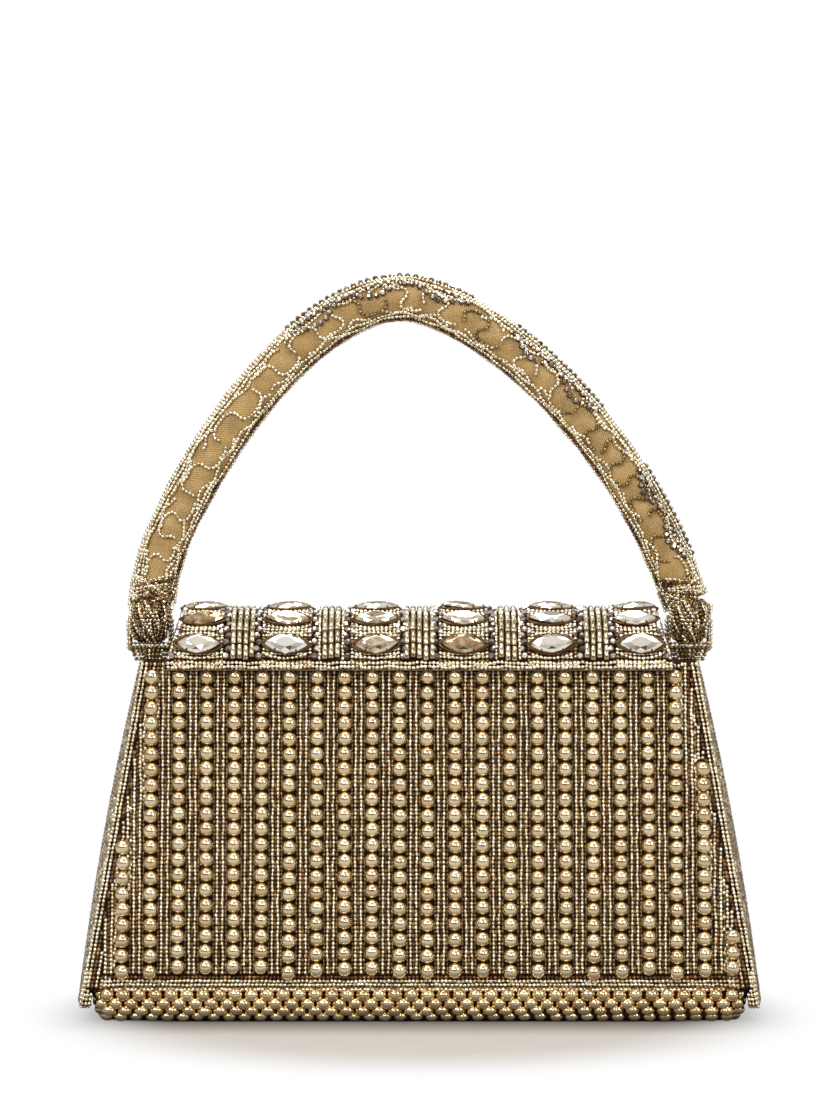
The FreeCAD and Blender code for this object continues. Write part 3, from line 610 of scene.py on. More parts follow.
def build_panel(side, name, seed):
    panel_ground(side, name, seed)
    rounds = Beads(ROUND_SHAPE, seed)
    bright, dark, under = seed_beads(seed + 1, seed + 2, seed + 4)
    state = np.random.RandomState(seed + 3)
    lowest, highest = slope_at(BEAD_LOWEST, ROUND_RADIUS), slope_at(BEAD_HIGHEST, ROUND_RADIUS)
    above = slope_at(BEAD_HIGHEST + 2.4 * MM, 0)
    thread = [0.0, side * -math.sin(SLOPE), math.cos(SLOPE)]
    for column in range(COLUMNS):
        across = -side * ((column - (COLUMNS - 1) / 2) * COLUMN_PITCH + COLUMN_SHIFT)
        first = lowest + state.uniform(0, 0.42) * ROUND_PITCH
        last = min(highest, line_end(across, ROUND_RADIUS + 0.9 * MM))
        count, pitch = string_column(first, last, last > highest - 0.1 * MM)
        ups = first + np.arange(count) * pitch + state.uniform(-0.1, 0.1, count) * MM
        sway = state.uniform(-0.16, 0.16, count) * MM
        sizes = min(ROUND_RADIUS, pitch * ROUND_FILL) * state.uniform(0.985, 1.015, (count, 1))
        rounds.add(panel_point(side, across + sway, ups, ROUND_RADIUS * ROUND_STAND), thread, sizes)
        reached = add_column_lines(side, across, column, state, bright, dark, under) or ups[-1]
        covered = reached > above - 8 * MM and abs(across) < HALF_WIDTH_HIGH - 6 * MM
        if covered or last < highest - ROUND_PITCH:
            start = above if covered else first + (count - 0.42) * ROUND_PITCH
            add_stubs(side, across, start, covered, bright)
    ups = np.linspace(0.8 * MM, LINE_TOP, 40)
    balls = np.concatenate(rounds.centres)
    for way in (-1, 1):
        for line in range(EDGE_LINES):
            edge = way * (panel_half_width(ups) - 0.75 * MM - EDGE_STEP * line)
            kind = dark if line in COPPER_EDGES else bright
            taken = np.concatenate(bright.centres + dark.centres)
            clear_of = ((taken, CLEAR_OF_SEEDS), (balls, CLEAR_OF_ROUNDS))
            kind.along_path(panel_point(side, edge, ups, LINE_LIFT), clear_of=clear_of)
    for height, kind in FOOT_ROWS:
        up = slope_at(height * MM, LINE_LIFT)
        reach = panel_half_width(up) - 4.6 * MM
        waver = up + state.normal(0, 0.07, 60) * MM
        row = panel_point(side, np.linspace(-reach, reach, 60), waver, 0.75 * MM)
        (dark if kind == "dark" else bright).along_path(row)
    rounds.join(name + "_round_beads", GOLD, "bag", name + "_bead_strings")
    join_seeds(name, "bag", bright, dark, under)


build_panel(FRONT, "front", 101)
build_panel(BACK, "back", 151)


# ---- base
BASE_TRAY = [(-60, 0.0), (-30, 0.0), (-8, 0.0), (-3, 0.15), (-1.0, 0.9), (0, 2.4), (0, 6.0), (0, 10.4)]
BASE_TRAY += [(-1.2, 10.4), (-1.2, 6.0), (-1.4, 1.6), (-8, 1.4), (-30, 1.4), (-60, 1.4)]
# Each row of round beads: its height, its beads' half width and half height, and its inset, in mm.
BASE_ROWS = ((9.3, 2.6, 2.35, 0.0), (6.4, 2.6, 2.15, 0.1), (3.9, 2.55, 1.95, 0.8), (1.85, 2.5, 1.75, 2.2))
BASE_BEADS = 106
TRAY_CORNER = 9 * MM
BAND_CORNER = 4.5 * MM
BASE_BEAD_REACH = 2.62  # half a bead's length along its row, in mm
PIPING_HEIGHT = 11.2 * MM
PIPING_INSET = 2.6 * MM
PIPING_CORNER = 7 * MM
CORNER_LINES = ((1.0, 3.2), (2.2, 2.5), (3.5, 1.6))


def rounded_outline(half_width, half_depth, corner, count):
    """Points evenly spaced round a rounded rectangle, the outward direction at each, and its length."""
    points, outward = [], []
    for quarter, (sx, sy) in enumerate(((1, 1), (-1, 1), (-1, -1), (1, -1))):
        turn = math.pi / 2 * (quarter + np.linspace(0, 1, 9))
        away = np.column_stack([np.cos(turn), np.sin(turn)])
        points.append([sx * (half_width - corner), sy * (half_depth - corner)] + corner * away)
        outward.append(away)
    points, outward = (np.concatenate(parts + [parts[0][:1]]) for parts in (points, outward))
    reach = reach_of(points)
    at = np.linspace(0, reach[-1], count, endpoint=False)
    return sample(at, reach, points), unit(sample(at, reach, outward)), reach[-1]


def build_base():
    rings = []
    for inset, height in BASE_TRAY:
        inset = max(inset * MM, -tray_high.y + 0.5 * MM)
        corner = max(TRAY_CORNER + inset, 0.3 * MM)
        place, _, _ = rounded_outline(tray_high.x + inset, tray_high.y + inset, corner, 240)
        rings.append(raised(place, height * MM))
    rings = np.array(rings)
    skin("base_ground", rings, GROUND, "bag", "base_cover", rings[..., :2])

    beads = Beads(ROUND_SHAPE, 31)
    for row, (height, radius, tall, inset) in enumerate(BASE_ROWS):
        room = (radius + inset) * MM
        wide, deep = band_high.x - room, band_high.y - room
        place, away, _ = rounded_outline(wide, deep, BAND_CORNER, BASE_BEADS * 2)
        place, away = place[row % 2::2], away[row % 2::2]
        centres = raised(place, height * MM)
        centres = centres + beads.random.normal(0, 0.08 * MM, centres.shape)
        centres[:, 2] = np.maximum(centres[:, 2], tall * 1.03 * MM)
        along, facing = raised(away[:, ::-1] * [-1, 1], 0.0), raised(away, 0.0)
        grow = beads.random.uniform(0.97, 1.03, (len(centres), 1))
        beads.add(centres, along, np.array([[tall, radius, BASE_BEAD_REACH]]) * MM * grow, facing)
    beads.join("base_round_beads", BASE_GOLD, "bag", "base_bead_band")

    piping = Beads(SEED_SHAPE, 33)
    wide, deep = band_high.x - PIPING_INSET, band_high.y - PIPING_INSET
    place, _, _ = rounded_outline(wide, deep, PIPING_CORNER, 300)
    piping.along_path(raised(np.vstack([place, place[:1]]), PIPING_HEIGHT))
    for x_side in (-1, 1):
        for y_side in (-1, 1):
            for inward, back in CORNER_LINES:
                x = x_side * (band_high.x - inward * MM)
                y = y_side * (HALF_DEPTH_LOW - back * MM)
                piping.along_path(points_of(x, y, np.linspace(6.4, 11.6, 6) * MM))
    piping.join("base_piping_seeds", SEED, "bag")


build_base()


# ---- gussets
BULGE = 3.6 * MM
BULGE_LOSS = 2.4 * MM
BULGE_HEIGHT = 60 * MM
GUSSET_LIFT = 0.62 * MM
GUSSET_THICKNESS = 1.1 * MM
HEM_THICKNESS = 2.4 * MM  # more at the lower edge, fading over the next height
HEM_FADE = 2.5 * MM
FIRST_STRAND = 0.8 * MM
SOLE_LINES = (0.1, 1.3, 2.5)  # insets of the rows that cover the gusset's lower edge, in mm


def gusset_frame(height):
    """Half depth, half the curve's length, bulge circle's centre and radius at a height."""
    share = (height - PANEL_LOW) / (PANEL_HIGH - PANEL_LOW)
    wide = HALF_WIDTH_LOW + share * (HALF_WIDTH_HIGH - HALF_WIDTH_LOW) + CLOTH_GAP
    deep = HALF_DEPTH_LOW + share * (HALF_DEPTH_HIGH - HALF_DEPTH_LOW)
    away = (height - BULGE_HEIGHT) / (PANEL_HIGH - BULGE_HEIGHT)
    bulge = BULGE - BULGE_LOSS * away**2
    radius = (deep**2 + bulge**2) / (2 * bulge)
    return deep, radius * np.arcsin(deep / radius), wide + bulge - radius, radius


def gusset_point(side, reach, height, out=0.0, ending=FRONT):
    """A point of a gusset, a distance along its curve from the front or back seam."""
    deep, _, centre, radius = gusset_frame(height)
    turn = -np.arcsin(deep / radius) + reach / radius
    x = side * (centre + (radius + out) * np.cos(turn))
    return points_of(x, -ending * (radius + out) * np.sin(turn), height)


def build_gusset(side, name, seed):
    height, share = grid(np.linspace(GUSSET_LOW, PANEL_HIGH - 0.1 * MM, 48), np.linspace(0, 1, 40))
    reach = share * 2 * gusset_frame(height)[1]
    outer = gusset_point(side, reach, height, ripple(reach, height, CLOTH_RIPPLE, seed))
    hem = HEM_THICKNESS * np.exp(-(height - GUSSET_LOW) / HEM_FADE)
    inner = gusset_point(side, reach, height, -GUSSET_THICKNESS - hem)
    slab(name + "_ground", outer, inner, GROUND, "bag", name, np.stack([reach, height], -1))

    bright, dark, olive = seed_beads(seed, seed + 1, seed + 2)
    heights = np.linspace(GUSSET_LOW + 0.6 * MM, PANEL_HIGH - 0.7 * MM, 60)
    half = gusset_frame(heights)[1]
    for ending in (FRONT, BACK):
        for strand in range(-1, 40):
            away = FIRST_STRAND + SEED_PITCH * strand
            inside = away < half - 0.3 * MM
            if inside.sum() < 3:
                break
            wander = bright.random.normal(0, 0.09, inside.sum()) * MM
            kind = {0: olive, 2: dark}.get(strand % 4, bright)
            kind.along_path(gusset_point(side, away + wander, heights[inside], GUSSET_LIFT, ending))
    taken = np.concatenate(bright.centres + dark.centres + olive.centres)
    dark.along_path(gusset_point(side, half, heights, GUSSET_LIFT), clear_of=((taken, 1.05 * MM),))

    sole_height = GUSSET_LOW - 0.45 * MM
    sole = np.linspace(0.5 * MM, 2 * gusset_frame(sole_height)[1] - 0.5 * MM, 60)
    for inward in SOLE_LINES:
        bright.along_path(gusset_point(side, sole, sole_height, -inward * MM))
        tall = 12 if inward == SOLE_LINES[0] else 7 - inward
        rise = np.linspace(GUSSET_LOW, GUSSET_LOW + tall * MM, 12)
        for ending in (FRONT, BACK):
            hem_edge = gusset_point(side, 0.0, rise, -inward * MM, ending)
            bright.along_path(hem_edge + [0.0, ending * 0.45 * MM, 0.0])
    join_seeds(name, "bag", bright, dark, olive)


build_gusset(-1, "left_gusset", 201)
build_gusset(1, "right_gusset", 211)


# ---- lining and slip pocket
LINING_POINTS = 300
LINING_LEVELS = 44
LINING_CORNER = 5 * MM
FOLD = 0.9 * MM
BROAD_FOLDS, FINE_FOLDS = 7, 19


def build_lining():
    """A loose satin bag: a floor, four walls with soft folds, and real thickness."""
    cloth = node_points("lining")
    low, high = cloth[:, 2].min(), cloth[:, 2].max()
    wide_low, deep_low = (largest_near(cloth, axis, low, 12 * MM) for axis in (0, 1))
    wide_high, deep_high = (largest_near(cloth, axis, high, 0.3 * MM) for axis in (0, 1))
    outer = []
    for share in np.linspace(0, 1, LINING_LEVELS):
        wide = wide_low + (wide_high - wide_low) * share - CLOTH_GAP
        deep = deep_low + (deep_high - deep_low) * share - CLOTH_GAP
        place, away, length = rounded_outline(wide, deep, LINING_CORNER, LINING_POINTS)
        turn = TAU * np.linspace(0, length, LINING_POINTS, endpoint=False) / length
        fold = FOLD * math.sin(math.pi * min(1.0, share * 1.02)) ** 0.7
        slack = fold * (0.5 + 0.5 * np.sin(turn * FINE_FOLDS + 2.2 * math.sin(5 * share)))
        slack += fold * 0.5 * (1 + np.sin(turn * BROAD_FOLDS + 4 * share))
        outer.append(raised(place - away * slack[:, None], low + 0.6 * MM + (high - low - 0.6 * MM) * share))
    outer = np.array(outer)
    floor = [outer[0] * [shrink, shrink, 0] + [0, 0, low + 0.1 * MM] for shrink in (0.02, 0.3, 0.6, 0.85)]
    away = unit((outer - outer.mean(axis=1, keepdims=True)) * [1, 1, 0])
    inner = outer - away * LINING_THICKNESS
    inner[0, :, 2] += LINING_THICKNESS
    inner_floor = [ring + [0, 0, LINING_THICKNESS] for ring in reversed(floor)]
    rings = np.array(floor + list(outer) + list(inner[::-1]) + inner_floor)
    around = np.broadcast_to(np.arange(LINING_POINTS) * 1.9 * MM, rings.shape[:2])
    skin("lining_satin", rings, LINING, "bag", "lining", np.stack([around, rings[..., 2]], -1))


def build_pocket():
    """A hemmed patch of satin on the back wall, sagging a little at its mouth."""
    cloth = node_points("slip_pocket")
    low, high = cloth[:, 2].min(), cloth[:, 2].max()
    foot = cloth[cloth[:, 2] < low + 0.3 * MM][:, 1].mean()
    mouth = cloth[cloth[:, 2] > high - 0.3 * MM][:, 1].mean()
    up, share = grid(np.linspace(0, 1, 40), np.linspace(-1, 1, 70))
    across = share * cloth[:, 0].max()
    height = low + (high - low) * up
    middle = foot + (mouth - foot) * up
    sag = 1.0 * MM * up**3 * (1 - share**2) + ripple(across, up * (high - low), 0.18 * MM, 5)
    hem = np.where((up > 0.93) | (up < 0.03) | (np.abs(share) > 0.97), 0.22 * MM, 0.0)
    outer = points_of(across, middle - sag - 0.3 * MM - hem, height)
    inner = points_of(across, middle - sag * 0.9 + 0.2 * MM, height)
    weave = np.stack([across, height], -1)
    slab("slip_pocket_satin", outer, inner, LINING, "bag", "slip_pocket", weave)


build_lining()
build_pocket()


# ---- flap
CRYSTAL_COLUMNS = 6
CRYSTAL_SPACING = 31.1 * MM
CRYSTAL_ANGLES = (56, 30, 4, -22, -48)
CLAWS = ((-1.02, 0), (1.02, 0), (-0.52, 0.86), (0.52, 0.86), (-0.52, -0.86), (0.52, -0.86))
CHAIN_PITCH = 2.75 * MM
CHAIN_REACH = 10.1 * MM  # from a stone column's middle to the rhinestone chain beside it
BUGLE_PITCH = 2.25 * MM
BUGLE_LINES = (4, 3, 5, 3, 4)
SEED_ROOM = 1.2 * MM  # kept between seeds and the flap's side edge
STONE_ROOM = 1.6 * MM  # and between small stones and that edge
COPPER_SHARE = 0.3  # of the seed lines under the navettes
FLAP_LINING_OUT = -2.35 * MM
NAVETTE_SIDES = 12
CUP_SIDES = 20


def flap_half_width(angle):
    """Half the flap's width at an angle round its curve, in degrees."""
    height = FLAP_CENTRE + FLAP_RADIUS * np.cos(np.radians(angle))
    return FLAP_HALF_LOW + (height - lip[2]) / crown_rise * (FLAP_HALF_CREST - FLAP_HALF_LOW)


def flap_point(across, angle, out):
    """A point over the flap. Angle 0 is the crest and grows towards the front lip, in degrees."""
    turn = np.radians(angle)
    radius = FLAP_RADIUS + out
    return points_of(across, -radius * np.sin(turn), FLAP_CENTRE + radius * np.cos(turn))


def flap_out(angle):
    """The direction straight out from the flap."""
    turn = math.radians(angle)
    return np.array([0.0, -math.sin(turn), math.cos(turn)])


def flap_down(angle):
    """The direction along the flap towards its front lip."""
    turn = math.radians(angle)
    return np.array([0.0, -math.cos(turn), -math.sin(turn)])


def degrees_of(length):
    """The angle round the flap that a length along its curve takes up."""
    return np.degrees(length / FLAP_RADIUS)


def on_flap(across, angle, room):
    """The nearest place across the flap that keeps a given room from its side edge."""
    limit = flap_half_width(angle) - room
    return np.clip(across, -limit, limit)


FLAP_LOW = FLAP_BACK_ANGLE + 2.0
FLAP_HIGH = FLAP_LIP_ANGLE - degrees_of(3.2 * MM)


def flap_grid(out, inset=0.0, seed=None):
    angle, share = grid(np.linspace(FLAP_BACK_ANGLE + 0.5, FLAP_LIP_ANGLE - 0.5, 60), np.linspace(-1, 1, 90))
    across = share * (flap_half_width(angle) - 0.2 * MM - inset)
    if seed:
        out = out + ripple(across, angle * 0.5 * MM, CLOTH_RIPPLE, seed)
    return flap_point(across, angle, out), np.stack([across, np.radians(angle) * FLAP_RADIUS], -1)


def build_flap_cloth():
    outer, weave = flap_grid(0.0, seed=41)
    inner, _ = flap_grid(-GROUND_THICKNESS)
    slab("flap_ground", outer, inner, GROUND, "flap", "flap_cover", weave)
    outer, weave = flap_grid(FLAP_LINING_OUT, 0.4 * MM)
    inner, _ = flap_grid(FLAP_LINING_OUT - LINING_THICKNESS, 0.4 * MM, seed=42)
    slab("flap_lining_satin", outer, inner, LINING, "flap", "flap_lining", weave)


def faceted_stone():
    """Crown of a navette cut: girdle, kite facets and a flat table, closed underneath."""
    count = NAVETTE_SIDES
    levels = [(0.80, 0.0, 0.0), (1.0, 0.34, 0.0), (0.83, 0.72, 0.5), (0.56, 0.96, 0.0), (0.50, 1.0, 0.0)]
    rings = []
    for scale, height, offset in levels:
        turn = TAU * (np.arange(count) + offset) / count
        x = np.cos(turn)
        y = np.sign(np.sin(turn)) * (1 - np.abs(x) ** 1.9)
        rings.append(points_of(scale * x, scale * y, height))
    walls, caps = skin_faces(len(levels), count)
    walls = np.concatenate([walls[:count], walls[3 * count:]])
    triangles = []
    for k in range(count):
        after = (k + 1) % count
        girdle, kite, table = count, 2 * count, 3 * count
        triangles.append((girdle + k, girdle + after, kite + k))
        triangles.append((kite + k, girdle + after, kite + after))
        triangles.append((kite + k, table + after, table + k))
        triangles.append((kite + k, kite + after, table + after))
    return np.concatenate(rings), [walls, np.array(triangles), caps]


def setting_cup():
    """Metal cup of a navette setting with a rolled rim."""
    levels = ((1.00, 0.0), (1.16, 0.12), (1.20, 0.62), (1.13, 0.80), (1.03, 0.72))
    turn = TAU * np.arange(CUP_SIDES) / CUP_SIDES
    x = np.cos(turn)
    y = np.sin(turn) * (1 - 0.25 * np.abs(x) ** 3)
    rings = [points_of(grow * x, grow * y, height) for grow, height in levels]
    return np.concatenate(rings), skin_faces(len(levels), CUP_SIDES)


def add_navette(middle, angle, state, stones, cups, claws, seeds):
    """One navette in its clawed cup, with a curved line of seeds over and under it."""
    tilt = math.radians(state.uniform(-4, 4))
    shift = state.uniform(-0.3, 0.3) * MM
    if abs(middle) > 70 * MM and angle < 40:
        shift = -math.copysign(1.5 * MM, middle)
    out, down = flap_out(angle), flap_down(angle)
    along = math.cos(tilt) * np.array([1.0, 0, 0]) + math.sin(tilt) * down
    wide = np.cross(out, along)
    seat = flap_point(middle + shift, angle, 0.1 * MM)
    half = CRYSTAL_HALF_WIDTH
    cups.add_turned(seat, along, out, [CRYSTAL_HALF_LENGTH, half, 1.9 * MM])
    lean = out + state.normal(0, 0.05, 3)
    stone_size = [CRYSTAL_HALF_LENGTH * 1.05, half * 1.2, 2.5 * MM]
    stones.add_turned(seat + out * 0.75 * MM, along, lean, stone_size)
    for x, y in CLAWS:
        spot = seat + along * x * CRYSTAL_HALF_LENGTH + wide * y * half * 1.06 + out * 1.5 * MM
        inward = -(along * x * 0.8 + wide * y) + out * 1.3
        claws.add(spot, inward, round_size(0.42, 0.95))
    arc = np.linspace(-1, 1, 26)
    for way in (-1, 1):
        reach = degrees_of(half * (1 - 0.45 * arc**2) + 1.75 * MM)
        if way == 1 and angle + reach.max() > FLAP_LIP_ANGLE - 4:
            reach = np.minimum(reach, degrees_of(half + 1.1 * MM))
        around = angle + way * reach
        place = on_flap(middle + shift + arc * 7.4 * MM, around, SEED_ROOM)
        seeds.along_path(flap_point(place, around, 0.75 * MM))


def add_chain(middle, way, state, stones, cups):
    """The rhinestones beside a column of navettes: a wavy chain, and pairs between the navettes."""
    across = [1.0, 0, 0]
    for k, angle in enumerate(np.arange(FLAP_LOW + 1.5, FLAP_HIGH - 1, degrees_of(CHAIN_PITCH))):
        out = flap_out(angle)
        place = middle + way * (CHAIN_REACH + (0.55 if k % 2 else -0.35) * MM)
        kept = on_flap(place, angle, STONE_ROOM)
        nearest = min(abs(angle - row) for row in CRYSTAL_ANGLES)
        if abs(place - kept) > 1.2 * MM and nearest < 6:
            continue
        spot = flap_point(kept, angle, 0.3 * MM)
        lean = out + state.normal(0, 0.10, 3)
        size = state.uniform(0.92, 1.05)
        sizes = round_size(1.05, 1.3) * size, round_size(1.02, 1.15) * size
        set_stone(cups, stones, spot, across, out, lean, 0.45 * MM, *sizes)
    for angle in np.arange(FLAP_LOW + 6, FLAP_HIGH - 4, 25.0):
        for step in (-1, 1):
            at = angle + step * degrees_of(1.5 * MM)
            if FLAP_LOW < at < FLAP_HIGH:
                out = flap_out(at)
                spot = flap_point(on_flap(middle + way * 8.0 * MM, at, STONE_ROOM), at, 0.3 * MM)
                lean = out + state.normal(0, 0.1, 3)
                sizes = round_size(0.9, 1.2), round_size(0.88, 1.05)
                set_stone(cups, stones, spot, across, out, lean, 0.4 * MM, *sizes)


def add_ladders(columns, state, bugles, seeds):
    """The lines of bugle beads between the columns of navettes, with lines of seeds beside them."""
    step = degrees_of(BUGLE_LENGTH + 0.12 * MM)
    rows = np.linspace(FLAP_LOW + step / 2, FLAP_HIGH - step / 2, int((FLAP_HIGH - FLAP_LOW) / step))
    angles = np.linspace(FLAP_LOW, FLAP_HIGH, 40)
    for gap, lines in enumerate(BUGLE_LINES):
        middle = (columns[gap] + columns[gap + 1]) / 2
        for place in middle + (np.arange(lines) - (lines - 1) / 2) * BUGLE_PITCH:
            slip = state.uniform(-0.12, 0.12) * step
            for at in rows + slip:
                spot = flap_point(place + state.normal(0, 0.05) * MM, at, BUGLE_RADIUS * 0.95)
                bugles.add(spot, flap_down(at), [BUGLE_RADIUS, BUGLE_RADIUS, BUGLE_LENGTH / 2])
        edge = lines / 2 * BUGLE_PITCH + 0.75 * MM
        while edge < 5.0 * MM:
            for way in (-1, 1):
                wander = state.normal(0, 0.05, 40) * MM
                seeds.along_path(flap_point(middle + way * edge + wander, angles, 0.62 * MM))
            edge += SEED_PITCH


def build_flap_trim():
    stones, cups = Beads(faceted_stone(), 51), Beads(setting_cup(), 52)
    claws, seeds, copper = seed_beads(53, 56, 57)
    small, small_cups = Beads(STONE_SHAPE, 54), Beads(CUP_SHAPE, 55)
    bugles = Beads(BUGLE_SHAPE, 58)
    state = np.random.RandomState(59)
    columns = (np.arange(CRYSTAL_COLUMNS) - (CRYSTAL_COLUMNS - 1) / 2) * CRYSTAL_SPACING
    for middle in columns:
        for angle in CRYSTAL_ANGLES:
            add_navette(middle, angle, state, stones, cups, claws, seeds)
        for way in (-1, 1):
            add_chain(middle, way, state, small, small_cups)
    line = np.linspace(-1, 1, 14)
    sag = degrees_of(0.5 * MM) * (1 - line**2)
    for middle in columns:
        for angle in np.arange(FLAP_LOW, FLAP_LIP_ANGLE - 1, degrees_of(1.46 * MM)):
            kind = copper if state.uniform() < COPPER_SHARE else seeds
            place = on_flap(middle + line * 8.9 * MM, angle + sag, SEED_ROOM)
            kind.along_path(flap_point(place, angle + sag, 0.5 * MM), 0.66 * MM)
    add_ladders(columns, state, bugles, seeds)
    angles = np.linspace(FLAP_LOW, FLAP_HIGH, 40)
    for way in (-1, 1):
        for room, kind in ((1.0, seeds), (2.4, copper)):
            rim = flap_half_width(angles) - room * MM
            kind.along_path(flap_point(way * rim, angles, 0.6 * MM))
    across = np.linspace(-1, 1, 220)
    for row, (room, lift) in enumerate(((0.6, 0.65), (2.0, 0.75), (0.7, -0.55))):
        waver = 0.28 * np.sin(across * 41 + row) + 0.18 * np.sin(across * 97 + 2 * row)
        angle = FLAP_LIP_ANGLE - degrees_of((room + waver * 0.7) * MM)
        seeds.along_path(flap_point(across * (FLAP_HALF_LOW - 1.0 * MM), angle, lift * MM))
    for room in (0.7, 2.1):
        angle = FLAP_BACK_ANGLE + degrees_of(room * MM)
        seeds.along_path(flap_point(across * (FLAP_HALF_LOW - 3.5 * MM), angle, 0.65 * MM))
    stones.join("navette_stones", CRYSTAL, "flap", "navette_crystals", smooth=False)
    cups.join("navette_settings", ANTIQUE, "flap", "crystal_settings")
    claws.join("setting_claws", ANTIQUE, "flap")
    small.join("flap_rhinestones", RHINESTONE, "flap", "rhinestones", smooth=False)
    small_cups.join("flap_rhinestone_cups", ANTIQUE, "flap")
    bugles.join("flap_bugles", BUGLE, "flap", "bugle_beads")
    join_seeds("flap", "flap", seeds, copper, node="flap_edge_rows")


build_flap_cloth()
build_flap_trim()


# ---- handle
HANDLE_POWER = 1.5  # the arch's exponent: 2 is an ellipse, and less is more pointed
HANDLE_CROWN_ROUND = 0.035  # rounds off the point at the top
HANDLE_LEAN = -7.0 * MM  # of the top, to the left
SLUMP_RIGHT = 2.9 * MM
SLUMP_LEFT = 1.4 * MM
STRAP_HALF_WIDTH = 7.3 * MM
STRAP_HALF_DEPTH = 4.0 * MM
STRAP_LIFT = 0.55 * MM
COVER_THICKNESS = 1.3 * MM
MEANDER_STEP = 0.5 * MM
MEANDER_WAVE = 52 * MM
MEANDER_REACH = 3.9 * MM
OLIVE_SHARE = 0.25  # of the scrolls' pieces
EDGE_TURNS = (0.0, 0.30, -0.30, 0.56, -0.56, 0.80, -0.80)
RHINESTONE_RUNS = ((-43, 16), (30, 60), (74, 91))  # from and to, across the bag, in mm


def handle_middle(share):
    """Centre line of the handle, from its left foot at 0 over the apex to its right foot at 1."""
    turn = np.clip(np.asarray(share, float) * math.pi, 1e-3, math.pi - 1e-3)
    power = 2 / HANDLE_POWER
    soft = HANDLE_CROWN_ROUND
    span = math.sqrt(1 + soft**2) - soft
    out = np.sqrt((span * np.abs(np.cos(turn)) ** power + soft) ** 2 - soft**2)
    up = np.sin(turn) ** power
    x = -np.sign(np.cos(turn)) * HANDLE_FOOT * out + HANDLE_LEAN * up**1.5
    slump_right = SLUMP_RIGHT * np.sin(math.pi * up**0.6)
    slump_left = SLUMP_LEFT * np.sin(math.pi * np.clip((up - 0.2) / 0.7, 0, 1))
    x = x + np.where(x > 0, -slump_right, slump_left) * np.clip(np.abs(x) / (30 * MM), 0, 1)
    return points_of(x, HANDLE_Y, HANDLE_START + (HANDLE_APEX - HANDLE_START) * up)


HANDLE_LINE = handle_middle(np.linspace(0, 1, 4001))
HANDLE_REACH = reach_of(HANDLE_LINE)
HANDLE_LENGTH = HANDLE_REACH[-1]


def handle_point(reach, turn, out=0.0):
    """A point over the strap: a length along it, and an angle round it from its outer edge."""
    reach, turn = np.broadcast_arrays(np.clip(reach, 0, HANDLE_LENGTH), turn)
    behind, here, ahead = (sample(reach + step * MM, HANDLE_REACH, HANDLE_LINE) for step in (-2, 0, 2))
    along = unit(ahead - behind)
    outward = points_of(-along[..., 2], 0.0, along[..., 0])
    wide = (STRAP_HALF_WIDTH + out) * np.cos(turn)
    deep = (STRAP_HALF_DEPTH + out) * np.sin(turn)
    return here + outward * wide[..., None] + np.array([0.0, -1.0, 0.0]) * deep[..., None]


def strap_place(reach, across, out=0.0, face=1):
    """A point on the strap's front (face 1) or back (face -1), across towards its outer edge."""
    turn = np.arccos(np.clip(across / STRAP_HALF_WIDTH, -1, 1))
    return handle_point(reach, face * turn, out)


def build_strap():
    reach, turn = grid(np.linspace(0, HANDLE_LENGTH, 190), np.linspace(0, TAU, 28, endpoint=False))
    pucker = 0.16 * MM * np.sin(TAU * reach / (7.3 * MM) + 2 * np.sin(turn))
    rings = handle_point(reach, turn, pucker + ripple(reach, turn * 5 * MM, 0.25 * MM, 61))
    around = STRAP_HALF_WIDTH * np.abs(np.cos(turn / 2)) * 2
    skin("handle_satin_strap", rings, SATIN, "handle", "handle_cover", np.stack([around, reach], -1))
    ends = 1 * MM, HANDLE_LENGTH - 1 * MM
    reach, turn = grid(np.linspace(*ends, 120), np.linspace(0, TAU, 20, endpoint=False))
    rings = handle_point(reach, turn, -COVER_THICKNESS)
    skin("handle_padding_core", rings, PADDING, "handle", "handle_core")


def meander(state):
    """A river-like line down the strap: (length along, distance across) with swinging heading."""
    travelled, along, across, swing = 0.0, 3 * MM, 0.0, 1.8
    line = []
    while along < HANDLE_LENGTH - 3 * MM:
        heading = swing * math.sin(TAU * travelled / MEANDER_WAVE)
        along += MEANDER_STEP * math.cos(heading)
        across += MEANDER_STEP * math.sin(heading)
        across *= 0.996
        swing = min(1.95, max(1.6, swing + state.normal(0, 0.02)))
        travelled += MEANDER_STEP * state.uniform(0.9, 1.15)
        line.append((along, across))
    line = np.array(line)
    line[:, 1] -= np.convolve(np.pad(line[:, 1], 60, mode="edge"), np.ones(121) / 121, mode="valid")
    line[:, 1] *= MEANDER_REACH / np.percentile(np.abs(line[:, 1]), 96)
    line[:, 1] = np.clip(line[:, 1], -4.5 * MM, 4.3 * MM)
    return line


def add_edge_rows(edge, state, seeds, copper):
    """Ragged rows of seeds along the strap's outer (0) or inner (pi) edge, with short strays."""
    reach = np.linspace(1 * MM, HANDLE_LENGTH - 1 * MM, 260)
    for row, turn in enumerate(EDGE_TURNS):
        wander = ripple(reach, 0 * reach, (0.04 + 0.02 * row) * 1.6, 80 + row + int(edge * 10))
        loose = state.normal(0, 0.02, len(reach))
        lift = STRAP_LIFT + ripple(reach, 0 * reach, 0.35 * MM, 90 + row)
        kind = copper if row in (1, 2) and edge else seeds
        kind.along_path(handle_point(reach, edge + turn + wander + loose, lift))
    part = np.linspace(0, 1, 24)
    for start in np.arange(6 * MM, HANDLE_LENGTH - 14 * MM, 17 * MM):
        for face in (1, -1):
            begin = start + state.uniform(-4, 4) * MM
            turn = edge + face * math.cos(edge) * (0.98 + 0.14 * np.sin(part * 6 + start * 900))
            line = begin + part * state.uniform(9, 14) * MM
            seeds.along_path(handle_point(line, turn, STRAP_LIFT))


